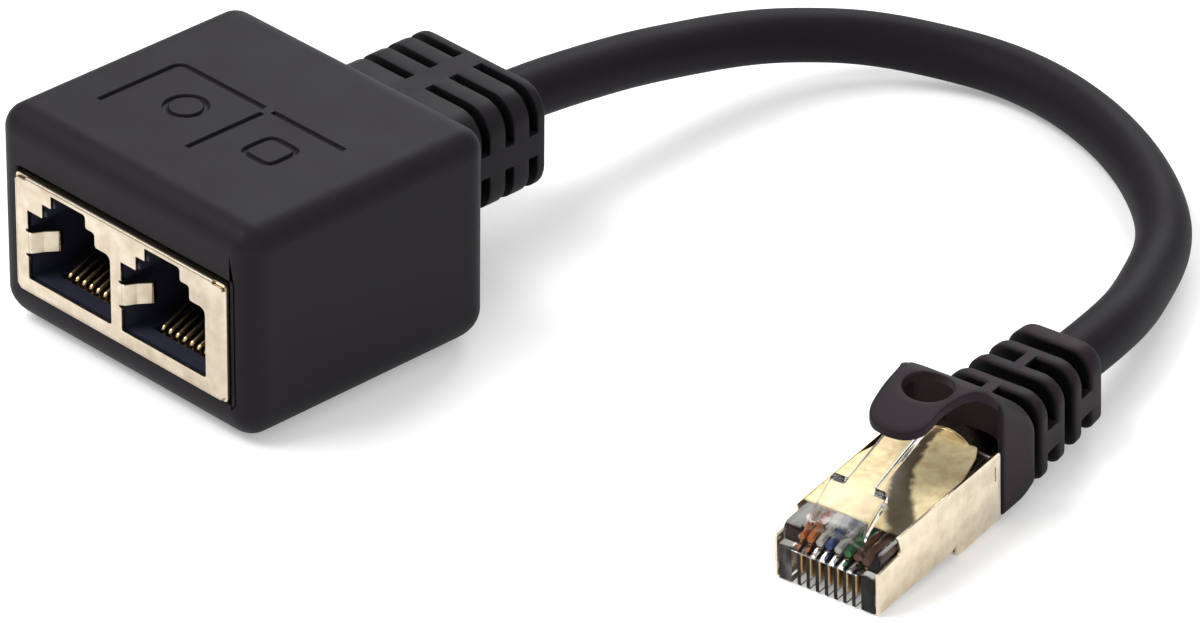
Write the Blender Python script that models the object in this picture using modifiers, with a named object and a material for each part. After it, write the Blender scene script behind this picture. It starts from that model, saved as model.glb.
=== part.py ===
"""A splitter adapter: a moulded block with a double socket, a short lead and a latched plug.

Metres, +Z up. X runs along the socket face, -Y points out of the sockets and the
origin is under the middle of the block with its strain relief, on the surface
that the part lies on. The plug is drawn in its own frame: u across, v from the
nose to the lead, w up.
"""
import math

import bmesh
import bpy
import numpy as np
from mathutils import Matrix, Vector

MM = 0.001
GAP = 0.3 * MM

# Housing block and its strain relief.
HOUSING_WIDTH = 36.2 * MM
HOUSING_DEPTH = 31.3 * MM
HOUSING_HEIGHT = 23.3 * MM
HOUSING_EDGE = 2.5 * MM
HOUSING_FOOT_EDGE = 3.5 * MM
HOUSING_REAR_WALL = 2.4 * MM
RELIEF_WIDTH = 18.9 * MM
RELIEF_HEIGHT = 11.6 * MM
RELIEF_LENGTH = 16.4 * MM
RELIEF_CENTRE_X = -0.75 * MM
RELIEF_CENTRE_Z = 11.8 * MM
RELIEF_EDGE = 3.0 * MM
RELIEF_RINGS = 3
RING_PITCH = 3.2 * MM
RING_WIDTH = 1.1 * MM
RING_DEPTH = 1.3 * MM
RING_END_LAND = 1.2 * MM
SPINE_TOP = 2.8 * MM
SPINE_SIDE = 2.6 * MM

# Engraved lines on the top face, from the plate's front, and their two plain marks.
LINE_WIDTH = 0.6 * MM
LINE_DEPTH = 0.35 * MM
LINE_FRONT = 8.4 * MM
LINE_REAR = 19.1 * MM
LINE_HALF_SPAN = 12.0 * MM
LINE_CORNER = 1.2 * MM
LINE_DIVIDER_X = 1.0 * MM
LINE_BREAK = 0.5 * MM
MARK_DISTANCE = 6.0 * MM
MARK_SIZE = 4.4 * MM
MARK_LINE = 0.5 * MM
MARK_DEPTH = 0.25 * MM

# Double jack: shield can, insert, sockets.
PLATE_WIDTH = 30.1 * MM
PLATE_HEIGHT = 12.8 * MM
PLATE_OFFSET_X = 0.4 * MM
PLATE_BOTTOM = 4.6 * MM
PLATE_PROUD = 0.7 * MM
SHEET = 0.3 * MM
JACK_DEPTH = 16.5 * MM
PORT_PITCH = 13.5 * MM
PORT_WIDTH = 12.0 * MM
PORT_BOTTOM = 6.35 * MM
PORT_HEIGHT = 7.4 * MM
STEP_WIDTH = 7.6 * MM
NOTCH_WIDTH = 5.0 * MM
STEP_HEIGHT = 1.45 * MM
NOTCH_HEIGHT = 1.45 * MM
PORT_DEPTH = 13.2 * MM
SPRING_HEIGHT = 2.2 * MM
SPRING_LENGTH = 3.2 * MM
SPRING_BULGE = 0.9 * MM
SPRING_BOTTOM = 9.4 * MM
SPRING_POCKET = 0.8 * MM

# Socket contacts.
CONTACTS = 8
CONTACT_PITCH = 1.02 * MM
CONTACT_RADIUS = 0.22 * MM
CONTACT_FRONT = 3.1 * MM
CONTACT_RUN_Z = 5.75 * MM
CONTACT_TIP = (10.7 * MM, 9.1 * MM)
CONTACT_TAIL_Y = 13.6 * MM
CONTACT_BEND = 0.42 * MM
TRENCH_WALL = 0.6 * MM
COMB_FRONT = 11.1 * MM
COMB_DEPTH = 1.3 * MM
COMB_TOP = 9.7 * MM
COMB_NOTCH = (0.6 * MM, 0.5 * MM)

# Board and wires.
BOARD_THICKNESS = 1.6 * MM
BOARD_FRONT = 5.0 * MM
BOARD_SIDE_MARGIN = 1.0 * MM
BOARD_REAR_MARGIN = 1.2 * MM
FLOOR_WALL = 2.3 * MM
WIRE_RADIUS = 0.42 * MM
WIRE_RING = 1.75 * MM
WIRE_BOARD_PITCH = 2.4 * MM
WIRE_ROWS = (1.5 * MM, 4.5 * MM)
WIRE_STRAIGHT = 1.0 * MM

# Lead.
CABLE_DIAMETER = 5.6 * MM
CABLE_INSIDE = 1.5 * MM
CABLE_SIDES = 2

# Plug frame and plug.
PLUG_PLACE = (67.05 * MM, -2.5 * MM)
PLUG_HEADING = math.radians(9.7)
PLUG_WIDTH = 11.6 * MM
PLUG_HEIGHT = 6.6 * MM
PLUG_LENGTH = 20.1 * MM
SHIELD_STEP_V = 13.0 * MM
SHIELD_STEP = 0.93 * MM
NOSE_SIDE_HEIGHT = 4.6 * MM
NOSE_LENGTH = 3.6 * MM
PLUG_TOP_FRONT = 4.6 * MM
PLUG_SHEET = 0.3 * MM
DOME_WIDTH = 5.8 * MM
DOME_BOTTOM = 4.0 * MM
SHOULDER_FRONT = 0.9 * MM
SLOT_WIDTH = 0.62 * MM
SLOT_HEIGHT = 3.7 * MM
SLOT_LENGTH = 6.2 * MM
BLADE_THICKNESS = 0.3 * MM
BLADE_LENGTH = 4.6 * MM
BLADE_HEIGHT = 2.6 * MM
BLADE_BOTTOM = 0.7 * MM
CHANNEL_BOTTOM = 3.8 * MM
CHANNEL_HEIGHT = 1.15 * MM
CHANNEL_FRONT = 1.3 * MM
CHANNEL_WIDTH = 8.4 * MM
THROAT_FRONT = 12.5 * MM
THROAT_WIDTH = 8.6 * MM
THROAT_BOTTOM = 1.2 * MM
THROAT_TOP = 5.6 * MM
CABLE_AXIS_W = 3.9 * MM
CABLE_END_V = 20.9 * MM
PLUG_WIRE_RING = 1.35 * MM
PLUG_WIRE_DROP = 0.5 * MM
BARREL_WALL = 0.35 * MM
BARREL_LENGTH = 3.6 * MM
REAR_WINDOW = (6.6 * MM, 1.3 * MM, 5.5 * MM)

# Latch.
LATCH_ROOT_V = 1.6 * MM
LATCH_BROAD_WIDTH = 6.2 * MM
LATCH_TAB_WIDTH = 3.25 * MM
LATCH_SHOULDER_V = 5.7 * MM
LATCH_SHOULDER_RISE = 2.5 * MM
LATCH_END_V = 14.6 * MM
LATCH_END_RISE = 3.6 * MM
LATCH_TAB_THICKNESS = 1.0 * MM
LATCH_BROAD_THICKNESS = 1.1 * MM

# Boot.
HOOD_LENGTH = 5.5 * MM
HOOD_TOP = 13.3 * MM
HOOD_CREST = 0.9 * MM
HOOD_REAR_TOP = 8.2 * MM
HOOD_WALL = 1.2 * MM
HOOD_EDGE = 2.8 * MM
TONGUE_TIP_V = 10.4 * MM
TONGUE_TIP_HALF = 3.4 * MM
TONGUE_ROOT_HALF = 4.6 * MM
TONGUE_THICKNESS = 1.2 * MM
TONGUE_HOLE = 4.8 * MM
TONGUE_HOLE_V = 17.4 * MM
RIB_WIDTH = 1.8 * MM
RIB_GROOVE = 1.35 * MM
RIB_GROOVES = 4
RIB_GROOVE_DEPTH = 0.9 * MM
COLLAR_LENGTH = 2.5 * MM
BOOT_NECK_TOP = 7.9 * MM
BOOT_NECK_BOTTOM = -1.45 * MM
BOOT_END_TOP = 7.3 * MM
BOOT_END_BOTTOM = -1.25 * MM
BOOT_NECK_HALF = 5.5 * MM
BOOT_END_HALF = 4.6 * MM
BOOT_EDGE = 2.0 * MM
BOOT_SPINE = 2.1 * MM
BOOT_EXIT_W = 3.0 * MM

# Derived places.
TOTAL_LENGTH = PLATE_PROUD + HOUSING_DEPTH + RELIEF_LENGTH
FRONT_Y = -TOTAL_LENGTH / 2
HOUSING_FRONT_Y = FRONT_Y + PLATE_PROUD
HOUSING_REAR_Y = HOUSING_FRONT_Y + HOUSING_DEPTH
RELIEF_END_Y = HOUSING_REAR_Y + RELIEF_LENGTH
CAVITY_REAR_Y = HOUSING_REAR_Y - HOUSING_REAR_WALL
JACK_REAR_Y = FRONT_Y + JACK_DEPTH
PLATE_TOP = PLATE_BOTTOM + PLATE_HEIGHT
BOARD_TOP = PLATE_BOTTOM - GAP
BOARD_BOTTOM = BOARD_TOP - BOARD_THICKNESS
CABLE_RADIUS = CABLE_DIAMETER / 2
BORE_RADIUS = CABLE_RADIUS + GAP
PORT_CENTRES = {"left": -PORT_PITCH / 2, "right": PORT_PITCH / 2}
PLUG_MID = PLUG_WIDTH / 2
PLUG_TILT = math.atan2(SHIELD_STEP, SHIELD_STEP_V)
BOOT_FRONT_V = PLUG_LENGTH + GAP
BOOT_NECK_V = BOOT_FRONT_V + HOOD_LENGTH
BOOT_END_V = BOOT_NECK_V + RIB_GROOVES * RIB_GROOVE + (RIB_GROOVES - 1) * RIB_WIDTH + COLLAR_LENGTH
BOOT_BOTTOM = -SHIELD_STEP
LATCH_ROOT_W = PLUG_HEIGHT + GAP

# Route of the lead between the strain relief and the boot.
CABLE_ROUTE = [(0, 24.2, 11.8), (-0.2, 30.8, 11.3), (-0.5, 39.0, 10.2), (-0.6, 45.2, 9.2),
               (-0.3, 51.5, 8.1), (0.2, 57.1, 7.1), (1.4, 62.4, 6.2), (3.3, 66.9, 5.4), (5.8, 71.1, 4.6),
               (9.0, 74.2, 4.0), (12.7, 76.8, 3.4), (17.1, 78.8, 3.0), (22.6, 79.6, 2.85),
               (28.8, 79.0, 2.85), (35.1, 77.3, 2.85), (42.0, 74.2, 2.85), (47.9, 70.4, 2.85),
               (51.4, 67.4, 2.85), (54.8, 63.3, 2.95), (58.4, 57.3, 3.5), (61.3, 51.9, 4.25),
               (63.45, 46.7, 5.0)]


def new_collection(name):
    """A collection linked to the scene."""
    made = bpy.data.collections.new(name)
    bpy.context.scene.collection.children.link(made)
    return made


for leftover in list(bpy.data.objects):
    bpy.data.objects.remove(leftover, do_unlink=True)
PARTS = new_collection("splitter_adapter")
CUTTERS = new_collection("cutters")

PLUG_ROTATION = Matrix.Rotation(PLUG_HEADING, 4, "Z") @ Matrix.Rotation(PLUG_TILT, 4, "X")
PLUG_FRAME = Matrix.Translation((*PLUG_PLACE, 0)) @ PLUG_ROTATION
WORLD = Matrix.Identity(4)


def material(name, colour, roughness, metallic=0.0, alpha=1.0):
    """A Principled material with a plain colour."""
    made = bpy.data.materials.new(name)
    made.use_nodes = True
    shader = made.node_tree.nodes["Principled BSDF"]
    shader.inputs["Base Color"].default_value = (*colour, 1.0)
    shader.inputs["Roughness"].default_value = roughness
    shader.inputs["Metallic"].default_value = metallic
    shader.inputs["Alpha"].default_value = alpha
    return made


BLACK_PVC = material("black_pvc", (0.030, 0.027, 0.028), 0.55)
JACK_PLASTIC = material("jack_plastic", (0.010, 0.010, 0.011), 0.45)
PLATED_SHEET = material("plated_sheet", (0.80, 0.70, 0.50), 0.32, metallic=1.0)
GOLD_CONTACT = material("gold_contact", (0.90, 0.68, 0.30), 0.25, metallic=1.0)
BOARD_GREEN = material("board_green", (0.02, 0.12, 0.05), 0.50)
CLEAR_PLASTIC = material("clear_plastic", (0.90, 0.90, 0.88), 0.10, alpha=0.35)
WIRE_COLOURS = [("white_orange", (0.85, 0.55, 0.35)), ("orange", (0.80, 0.28, 0.04)),
                ("white_green", (0.60, 0.80, 0.60)), ("blue", (0.05, 0.15, 0.55)),
                ("white_blue", (0.60, 0.68, 0.85)), ("green", (0.04, 0.35, 0.10)),
                ("white_brown", (0.70, 0.55, 0.45)), ("brown", (0.28, 0.12, 0.06))]
WIRE_MATERIALS = [material("wire_" + name, colour, 0.45) for name, colour in WIRE_COLOURS]


def link(name, mesh, surface=None, frame=WORLD, cutter=False):
    """Put a mesh into the parts, or into the cutters, at a frame."""
    made = bpy.data.objects.new(name, mesh)
    made.matrix_world = frame
    if cutter:
        CUTTERS.objects.link(made)
        made.hide_render = True
        made.display_type = "WIRE"
    else:
        PARTS.objects.link(made)
        mesh.materials.append(surface)
    return made


def box_mesh(name, low, high):
    """A box between two corners."""
    shape = bmesh.new()
    bmesh.ops.create_cube(shape, size=1.0)
    size = [b - a for a, b in zip(low, high)]
    middle = [(a + b) / 2 for a, b in zip(low, high)]
    bmesh.ops.scale(shape, vec=size, verts=shape.verts)
    bmesh.ops.translate(shape, vec=middle, verts=shape.verts)
    mesh = bpy.data.meshes.new(name)
    shape.to_mesh(mesh)
    shape.free()
    return mesh


def cylinder_mesh(name, radius, start, end, sides=24):
    """A closed cylinder between two points."""
    start, end = Vector(start), Vector(end)
    along = end - start
    turn = Vector((0, 0, 1)).rotation_difference(along).to_matrix().to_4x4()
    shape = bmesh.new()
    bmesh.ops.create_cone(shape, cap_ends=True, segments=sides, radius1=radius, radius2=radius,
                          depth=along.length)
    bmesh.ops.transform(shape, matrix=Matrix.Translation((start + end) / 2) @ turn, verts=shape.verts)
    mesh = bpy.data.meshes.new(name)
    shape.to_mesh(mesh)
    shape.free()
    return mesh


def mesh_from_curve(name, curve, place=WORLD):
    """Turn a curve into a welded mesh and remove the curve."""
    holder = bpy.data.objects.new(name + "_curve", curve)
    CUTTERS.objects.link(holder)
    holder.matrix_world = place
    graph = bpy.context.evaluated_depsgraph_get()
    mesh = bpy.data.meshes.new_from_object(holder.evaluated_get(graph))
    mesh.name = name
    shape = bmesh.new()
    shape.from_mesh(mesh)
    bmesh.ops.remove_doubles(shape, verts=shape.verts, dist=0.001 * MM)
    bmesh.ops.transform(shape, matrix=place, verts=shape.verts)
    bmesh.ops.recalc_face_normals(shape, faces=shape.faces)
    shape.to_mesh(mesh)
    shape.free()
    bpy.data.objects.remove(holder, do_unlink=True)
    bpy.data.curves.remove(curve)
    return mesh


def flat_mesh(name, outlines, start, thickness, axes):
    """A plate from flat outlines, standing on three axes: along, up and its thickness."""
    curve = bpy.data.curves.new(name, "CURVE")
    curve.dimensions = "2D"
    curve.fill_mode = "BOTH"
    curve.extrude = thickness / 2
    for outline in outlines:
        spline = curve.splines.new("POLY")
        spline.points.add(len(outline) - 1)
        for point, (a, b) in zip(spline.points, outline):
            point.co = (a, b, 0, 1)
        spline.use_cyclic_u = True
    turn = Matrix([Vector(axis) for axis in axes]).transposed().to_4x4()
    lift = Matrix.Translation(Vector(axes[2]) * (start + thickness / 2))
    return mesh_from_curve(name, curve, lift @ turn)


ALONG_X = ((0, 1, 0), (0, 0, 1), (1, 0, 0))
ALONG_Y = ((-1, 0, 0), (0, 0, 1), (0, 1, 0))
ALONG_Z = ((1, 0, 0), (0, 1, 0), (0, 0, 1))


def arc(centre, radius, start, end, steps=5):
    """Points of an arc, angles in degrees."""
    angles = [math.radians(start + (end - start) * i / steps) for i in range(steps + 1)]
    return [(centre[0] + radius * math.cos(a), centre[1] + radius * math.sin(a)) for a in angles]


def rounded_rectangle(half_width, half_height, radius, steps=5):
    """Outline of a rounded rectangle about the origin."""
    a, b = half_width - radius, half_height - radius
    corners = [((a, b), 0), ((-a, b), 90), ((-a, -b), 180), ((a, -b), 270)]
    return [p for centre, turn in corners for p in arc(centre, radius, turn, turn + 90, steps)]


def boolean(target, tool, operation="DIFFERENCE"):
    """Cut or join with an exact Boolean."""
    step = target.modifiers.new(tool.name, "BOOLEAN")
    step.operation = operation
    step.solver = "EXACT"
    step.object = tool
    return step


def bevel(target, width, segments=3, weighted=False):
    """Round the edges of a piece, all of them or the weighted ones."""
    step = target.modifiers.new("rounded_edges", "BEVEL")
    step.width = width
    step.segments = segments
    step.limit_method = "WEIGHT" if weighted else "ANGLE"
    step.use_clamp_overlap = True
    return step


def weigh_edges(mesh, weight_of_edge):
    """Store a bevel weight on every edge, from a rule on its two ends."""
    layer = mesh.attributes.new("bevel_weight_edge", "FLOAT", "EDGE")
    for edge in mesh.edges:
        first, second = (mesh.vertices[v].co for v in edge.vertices)
        layer.data[edge.index].value = weight_of_edge(first, second)


def wire_object(name, points, radius, surface, frame=WORLD, resolution=1):
    """A round wire along points, as a closed mesh."""
    curve = bpy.data.curves.new(name, "CURVE")
    curve.dimensions = "3D"
    curve.bevel_depth = radius
    curve.bevel_resolution = resolution
    curve.use_fill_caps = True
    spline = curve.splines.new("POLY")
    spline.points.add(len(points) - 1)
    for point, place in zip(spline.points, points):
        point.co = (*place, 1)
    return link(name, mesh_from_curve(name, curve), surface, frame)


def smooth_curve(points, count):
    """Points at even distances on a natural cubic spline through the given points."""
    knots = np.array(points, float)
    spans = np.linalg.norm(np.diff(knots, axis=0), axis=1)
    t = np.concatenate([[0.0], np.cumsum(spans)])
    n = len(knots)
    system = np.eye(n)
    right = np.zeros((n, 3))
    for i in range(1, n - 1):
        before, after = t[i] - t[i - 1], t[i + 1] - t[i]
        system[i, i - 1:i + 2] = (before, 2 * (before + after), after)
        right[i] = 6 * ((knots[i + 1] - knots[i]) / after - (knots[i] - knots[i - 1]) / before)
    bend = np.linalg.solve(system, right)
    fine = np.linspace(0, t[-1], 40 * n)
    span = np.clip(np.searchsorted(t, fine, side="right") - 1, 0, n - 2)
    width = (t[span + 1] - t[span])[:, None]
    a = ((t[span + 1] - fine))[:, None]
    b = (fine - t[span])[:, None]
    curve = (bend[span] * a ** 3 + bend[span + 1] * b ** 3) / (6 * width)
    curve += (knots[span] / width - bend[span] * width / 6) * a
    curve += (knots[span + 1] / width - bend[span + 1] * width / 6) * b
    run = np.concatenate([[0.0], np.cumsum(np.linalg.norm(np.diff(curve, axis=0), axis=1))])
    wanted = np.linspace(0, run[-1], count)
    return np.stack([np.interp(wanted, run, curve[:, k]) for k in range(3)], axis=1)


def ring_corner_outlines(half_width, half_height, edge, depth, spine_top, spine_side):
    """Four L-shaped outlines that cut a groove ring and leave a spine in the middle of each side."""
    floor_w, floor_h = half_width - depth, half_height - depth
    floor_edge = max(edge - depth, 0.5 * MM)
    out_w, out_h = half_width + depth, half_height + depth
    outlines = []
    for sx, sz in ((1, 1), (-1, 1), (-1, -1), (1, -1)):
        bend = arc((floor_w - floor_edge, floor_h - floor_edge), floor_edge, 90, 0, 4)
        corner = [(spine_top / 2, floor_h), *bend, (floor_w, spine_side / 2),
                  (out_w, spine_side / 2), (out_w, out_h), (spine_top / 2, out_h)]
        outlines.append([(sx * x, sz * z) for x, z in corner])
    return outlines


def make_housing():
    """The moulded block: rounded outside, pockets for the jack and board, ribbed strain relief."""
    half = HOUSING_WIDTH / 2
    mesh = box_mesh("housing", (-half, HOUSING_FRONT_Y, 0), (half, HOUSING_REAR_Y, HOUSING_HEIGHT))
    foot = HOUSING_EDGE / HOUSING_FOOT_EDGE

    def weight(first, second):
        return 1.0 if max(first.z, second.z) < HOUSING_EDGE else foot

    weigh_edges(mesh, weight)
    housing = link("housing", mesh, BLACK_PVC)
    bevel(housing, HOUSING_FOOT_EDGE, segments=4, weighted=True)

    outline = rounded_rectangle(RELIEF_WIDTH / 2, RELIEF_HEIGHT / 2, RELIEF_EDGE)
    # A plate along Y is drawn as seen from behind, so x is taken the other way.
    outline = [(x - RELIEF_CENTRE_X, z + RELIEF_CENTRE_Z) for x, z in outline]
    root = HOUSING_REAR_WALL / 2
    stub = flat_mesh("relief_block", [outline], HOUSING_REAR_Y - root, RELIEF_LENGTH + root, ALONG_Y)
    boolean(housing, link("relief_block", stub, cutter=True), "UNION")

    for i in range(RELIEF_RINGS):
        start = RELIEF_END_Y - RING_END_LAND - RING_WIDTH - i * RING_PITCH
        corners = ring_corner_outlines(RELIEF_WIDTH / 2, RELIEF_HEIGHT / 2, RELIEF_EDGE, RING_DEPTH,
                                       SPINE_TOP, SPINE_SIDE)
        corners = [[(x - RELIEF_CENTRE_X, z + RELIEF_CENTRE_Z) for x, z in corner] for corner in corners]
        name = f"relief_ring_{i + 1}"
        ring = flat_mesh(name, corners, start, RING_WIDTH, ALONG_Y)
        boolean(housing, link(name, ring, cutter=True))

    bore = cylinder_mesh("cable_bore", BORE_RADIUS, (0, CAVITY_REAR_Y - CABLE_RADIUS, RELIEF_CENTRE_Z),
                         (0, RELIEF_END_Y + CABLE_RADIUS, RELIEF_CENTRE_Z))
    boolean(housing, link("cable_bore", bore, cutter=True))

    plate_half = PLATE_WIDTH / 2 + GAP
    left, right = PLATE_OFFSET_X - plate_half, PLATE_OFFSET_X + plate_half
    jack_pocket = box_mesh("jack_pocket", (left, HOUSING_FRONT_Y - PLATE_PROUD, PLATE_BOTTOM - GAP),
                           (right, CAVITY_REAR_Y, PLATE_TOP + GAP))
    boolean(housing, link("jack_pocket", jack_pocket, cutter=True))
    board_pocket = box_mesh("board_pocket", (left, FRONT_Y + BOARD_FRONT - GAP, FLOOR_WALL),
                            (right, CAVITY_REAR_Y, PLATE_BOTTOM))
    boolean(housing, link("board_pocket", board_pocket, cutter=True))
    engrave_top(housing)
    return housing


def engrave_top(housing):
    """Thin engraved lines on the top: a frame open to the front, its divider and two plain marks."""
    front, rear = FRONT_Y + LINE_FRONT, FRONT_Y + LINE_REAR
    half, wide = LINE_HALF_SPAN, LINE_WIDTH
    inner = LINE_CORNER - wide
    bend_out = arc((-half + LINE_CORNER, rear - LINE_CORNER), LINE_CORNER, 180, 90)
    bend_in = arc((-half + LINE_CORNER, rear - LINE_CORNER), inner, 90, 180)
    stop = LINE_DIVIDER_X - LINE_BREAK
    frame_line = [(-half, front), *bend_out, (stop, rear), (stop, rear - wide), *bend_in,
                  (-half + wide, front)]
    start = LINE_DIVIDER_X + LINE_BREAK
    rear_line = [(start, rear - wide), (start, rear), (half, rear), (half, rear - wide)]
    divider_left, divider_right = LINE_DIVIDER_X - wide / 2, LINE_DIVIDER_X + wide / 2
    end = rear - wide - LINE_BREAK
    divider = [(divider_left, front), (divider_left, end), (divider_right, end), (divider_right, front)]
    lines = flat_mesh("top_lines", [frame_line, rear_line, divider], HOUSING_HEIGHT - LINE_DEPTH,
                      2 * LINE_DEPTH, ALONG_Z)
    boolean(housing, link("top_lines", lines, cutter=True))

    mark_y = (front + rear) / 2
    r = MARK_SIZE / 2
    ring = [arc((LINE_DIVIDER_X - MARK_DISTANCE, mark_y), radius, 0, 345, 23)
            for radius in (r, r - MARK_LINE)]
    square = [rounded_rectangle(size, size, edge, 4) for size, edge in
              ((r, MARK_LINE * 2), (r - MARK_LINE, MARK_LINE))]
    square = [[(x + LINE_DIVIDER_X + MARK_DISTANCE, y + mark_y) for x, y in loop] for loop in square]
    for name, loops in (("round_mark", ring), ("square_mark", square)):
        cut = flat_mesh(name, loops, HOUSING_HEIGHT - MARK_DEPTH, 2 * MARK_DEPTH, ALONG_Z)
        boolean(housing, link(name, cut, cutter=True))


def port_outline(centre, grow=0.0):
    """Stepped socket outline about a centre, seen from the front, with the latch notch on top."""
    half, step, notch = PORT_WIDTH / 2 + grow, STEP_WIDTH / 2 + grow, NOTCH_WIDTH / 2 + grow
    low = PORT_BOTTOM - grow
    side = PORT_BOTTOM + PORT_HEIGHT + grow
    middle = side + STEP_HEIGHT
    top = middle + NOTCH_HEIGHT
    right = [(half, low), (half, side), (step, side), (step, middle), (notch, middle), (notch, top)]
    left = [(-x, z) for x, z in reversed(right)]
    return [(-(centre + x), z) for x, z in right + left]


def make_jack_shield():
    """The stamped can: a front plate with two openings, four walls and the bent grounding springs."""
    half = PLATE_WIDTH / 2
    low = (PLATE_OFFSET_X - half, FRONT_Y, PLATE_BOTTOM)
    high = (PLATE_OFFSET_X + half, JACK_REAR_Y, PLATE_TOP)
    shield = link("jack_shield", box_mesh("jack_shield", low, high), PLATED_SHEET)
    inside = box_mesh("can_inside", (low[0] + SHEET, FRONT_Y + SHEET, low[2] + SHEET),
                      (high[0] - SHEET, JACK_REAR_Y + SHEET, high[2] - SHEET))
    boolean(shield, link("can_inside", inside, cutter=True))
    tail_window = box_mesh("tail_window", (-PORT_PITCH, FRONT_Y + COMB_FRONT, PLATE_BOTTOM - SHEET),
                           (PORT_PITCH, JACK_REAR_Y + SHEET, PLATE_BOTTOM + 2 * SHEET))
    boolean(shield, link("tail_window", tail_window, cutter=True))
    for side, centre in PORT_CENTRES.items():
        name = f"{side}_plate_opening"
        hole = flat_mesh(name, [port_outline(centre)], FRONT_Y - SHEET, 3 * SHEET, ALONG_Y)
        boolean(shield, link(name, hole, cutter=True))
        edge = centre - PORT_WIDTH / 2
        root = FRONT_Y + SHEET / 2
        path = [(edge - SHEET, root), (edge - SHEET, root + SPRING_LENGTH * 0.25),
                (edge + SPRING_BULGE, root + SPRING_LENGTH * 0.75),
                (edge + SPRING_BULGE * 0.6, root + SPRING_LENGTH)]
        shape = path + [(x + SHEET, y) for x, y in reversed(path)]
        name = f"{side}_grounding_spring"
        spring = flat_mesh(name, [shape], SPRING_BOTTOM, SPRING_HEIGHT, ALONG_Z)
        boolean(shield, link(name, spring, cutter=True), "UNION")
    return shield


def make_jack_body():
    """The black insert that fills the can and holds the two socket cavities."""
    half = PLATE_WIDTH / 2 - SHEET - GAP
    low = (PLATE_OFFSET_X - half, FRONT_Y + SHEET + GAP, PLATE_BOTTOM + SHEET + GAP)
    high = (PLATE_OFFSET_X + half, JACK_REAR_Y - GAP, PLATE_TOP - SHEET - GAP)
    body = link("jack_body", box_mesh("jack_body", low, high), JACK_PLASTIC)
    trench_half = CONTACT_PITCH * (CONTACTS - 1) / 2 + CONTACT_RADIUS + TRENCH_WALL
    for side, centre in PORT_CENTRES.items():
        name = f"{side}_socket_cavity"
        cavity = flat_mesh(name, [port_outline(centre)], FRONT_Y, PORT_DEPTH, ALONG_Y)
        boolean(body, link(name, cavity, cutter=True))
        name = f"{side}_contact_trench"
        trench = box_mesh(name, (centre - trench_half, FRONT_Y + CONTACT_FRONT - 3 * CONTACT_RADIUS,
                                 PLATE_BOTTOM), (centre + trench_half, JACK_REAR_Y, PORT_BOTTOM + GAP))
        boolean(body, link(name, trench, cutter=True))
        edge = centre - PORT_WIDTH / 2
        name = f"{side}_spring_pocket"
        pocket = box_mesh(name, (edge - SPRING_POCKET, FRONT_Y, SPRING_BOTTOM - GAP),
                          (edge + GAP, FRONT_Y + SPRING_LENGTH + 3 * GAP,
                           SPRING_BOTTOM + SPRING_HEIGHT + GAP))
        boolean(body, link(name, pocket, cutter=True))
    return body


def make_combs():
    """The two notched bars that guide the contacts' free ends, standing on the cavity floors."""
    half = CONTACT_PITCH * CONTACTS / 2 + TRENCH_WALL
    rear = COMB_FRONT + COMB_DEPTH
    notch_width, notch_depth = COMB_NOTCH
    for side, centre in PORT_CENTRES.items():
        outline = [(centre - half, FRONT_Y + rear), (centre - half, FRONT_Y + COMB_FRONT)]
        for i in range(CONTACTS):
            x = centre + (i - (CONTACTS - 1) / 2) * CONTACT_PITCH
            for dx, dy in ((-1, 0), (-1, 1), (1, 1), (1, 0)):
                outline.append((x + dx * notch_width / 2, FRONT_Y + COMB_FRONT + dy * notch_depth))
        outline += [(centre + half, FRONT_Y + COMB_FRONT), (centre + half, FRONT_Y + rear)]
        low = PORT_BOTTOM + GAP
        name = f"contact_comb_{side}"
        link(name, flat_mesh(name, [outline], low, COMB_TOP - low, ALONG_Z), JACK_PLASTIC)


def make_contacts():
    """Sixteen bent spring wires: tail, run below the floor, front bend and the slanted finger."""
    tip_y, tip_z = CONTACT_TIP
    bend_z = CONTACT_RUN_Z + CONTACT_BEND
    bend = arc((CONTACT_FRONT + CONTACT_BEND, bend_z), CONTACT_BEND, 270, 112, 4)
    profile = [(CONTACT_TAIL_Y, BOARD_TOP + GAP), (CONTACT_TAIL_Y, CONTACT_RUN_Z - CONTACT_RADIUS / 2),
               (CONTACT_TAIL_Y - CONTACT_RADIUS, CONTACT_RUN_Z), *bend, (tip_y, tip_z)]
    for side, centre in PORT_CENTRES.items():
        for i in range(CONTACTS):
            x = centre + (i - (CONTACTS - 1) / 2) * CONTACT_PITCH
            points = [(x, FRONT_Y + y, z) for y, z in profile]
            wire_object(f"{side}_contact_{i + 1}", points, CONTACT_RADIUS, GOLD_CONTACT)


def make_board():
    """The board under the jack, which joins both sockets to the lead."""
    half = PLATE_WIDTH / 2 - BOARD_SIDE_MARGIN
    mesh = box_mesh("circuit_board", (PLATE_OFFSET_X - half, FRONT_Y + BOARD_FRONT, BOARD_BOTTOM),
                    (PLATE_OFFSET_X + half, CAVITY_REAR_Y - BOARD_REAR_MARGIN, BOARD_TOP))
    link("circuit_board", mesh, BOARD_GREEN)


def ring_place(i, radius):
    """Place of the i-th conductor on a ring about the cable's axis: across and up."""
    angle = 2 * math.pi * (i + 0.5) / CONTACTS
    return radius * math.cos(angle), radius * math.sin(angle)


def ring_order():
    """Conductors from left to right, the upper one of each pair first."""
    places = [ring_place(i, 1.0) for i in range(CONTACTS)]
    return sorted(range(CONTACTS), key=lambda i: (round(places[i][0], 3), -places[i][1]))


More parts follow.
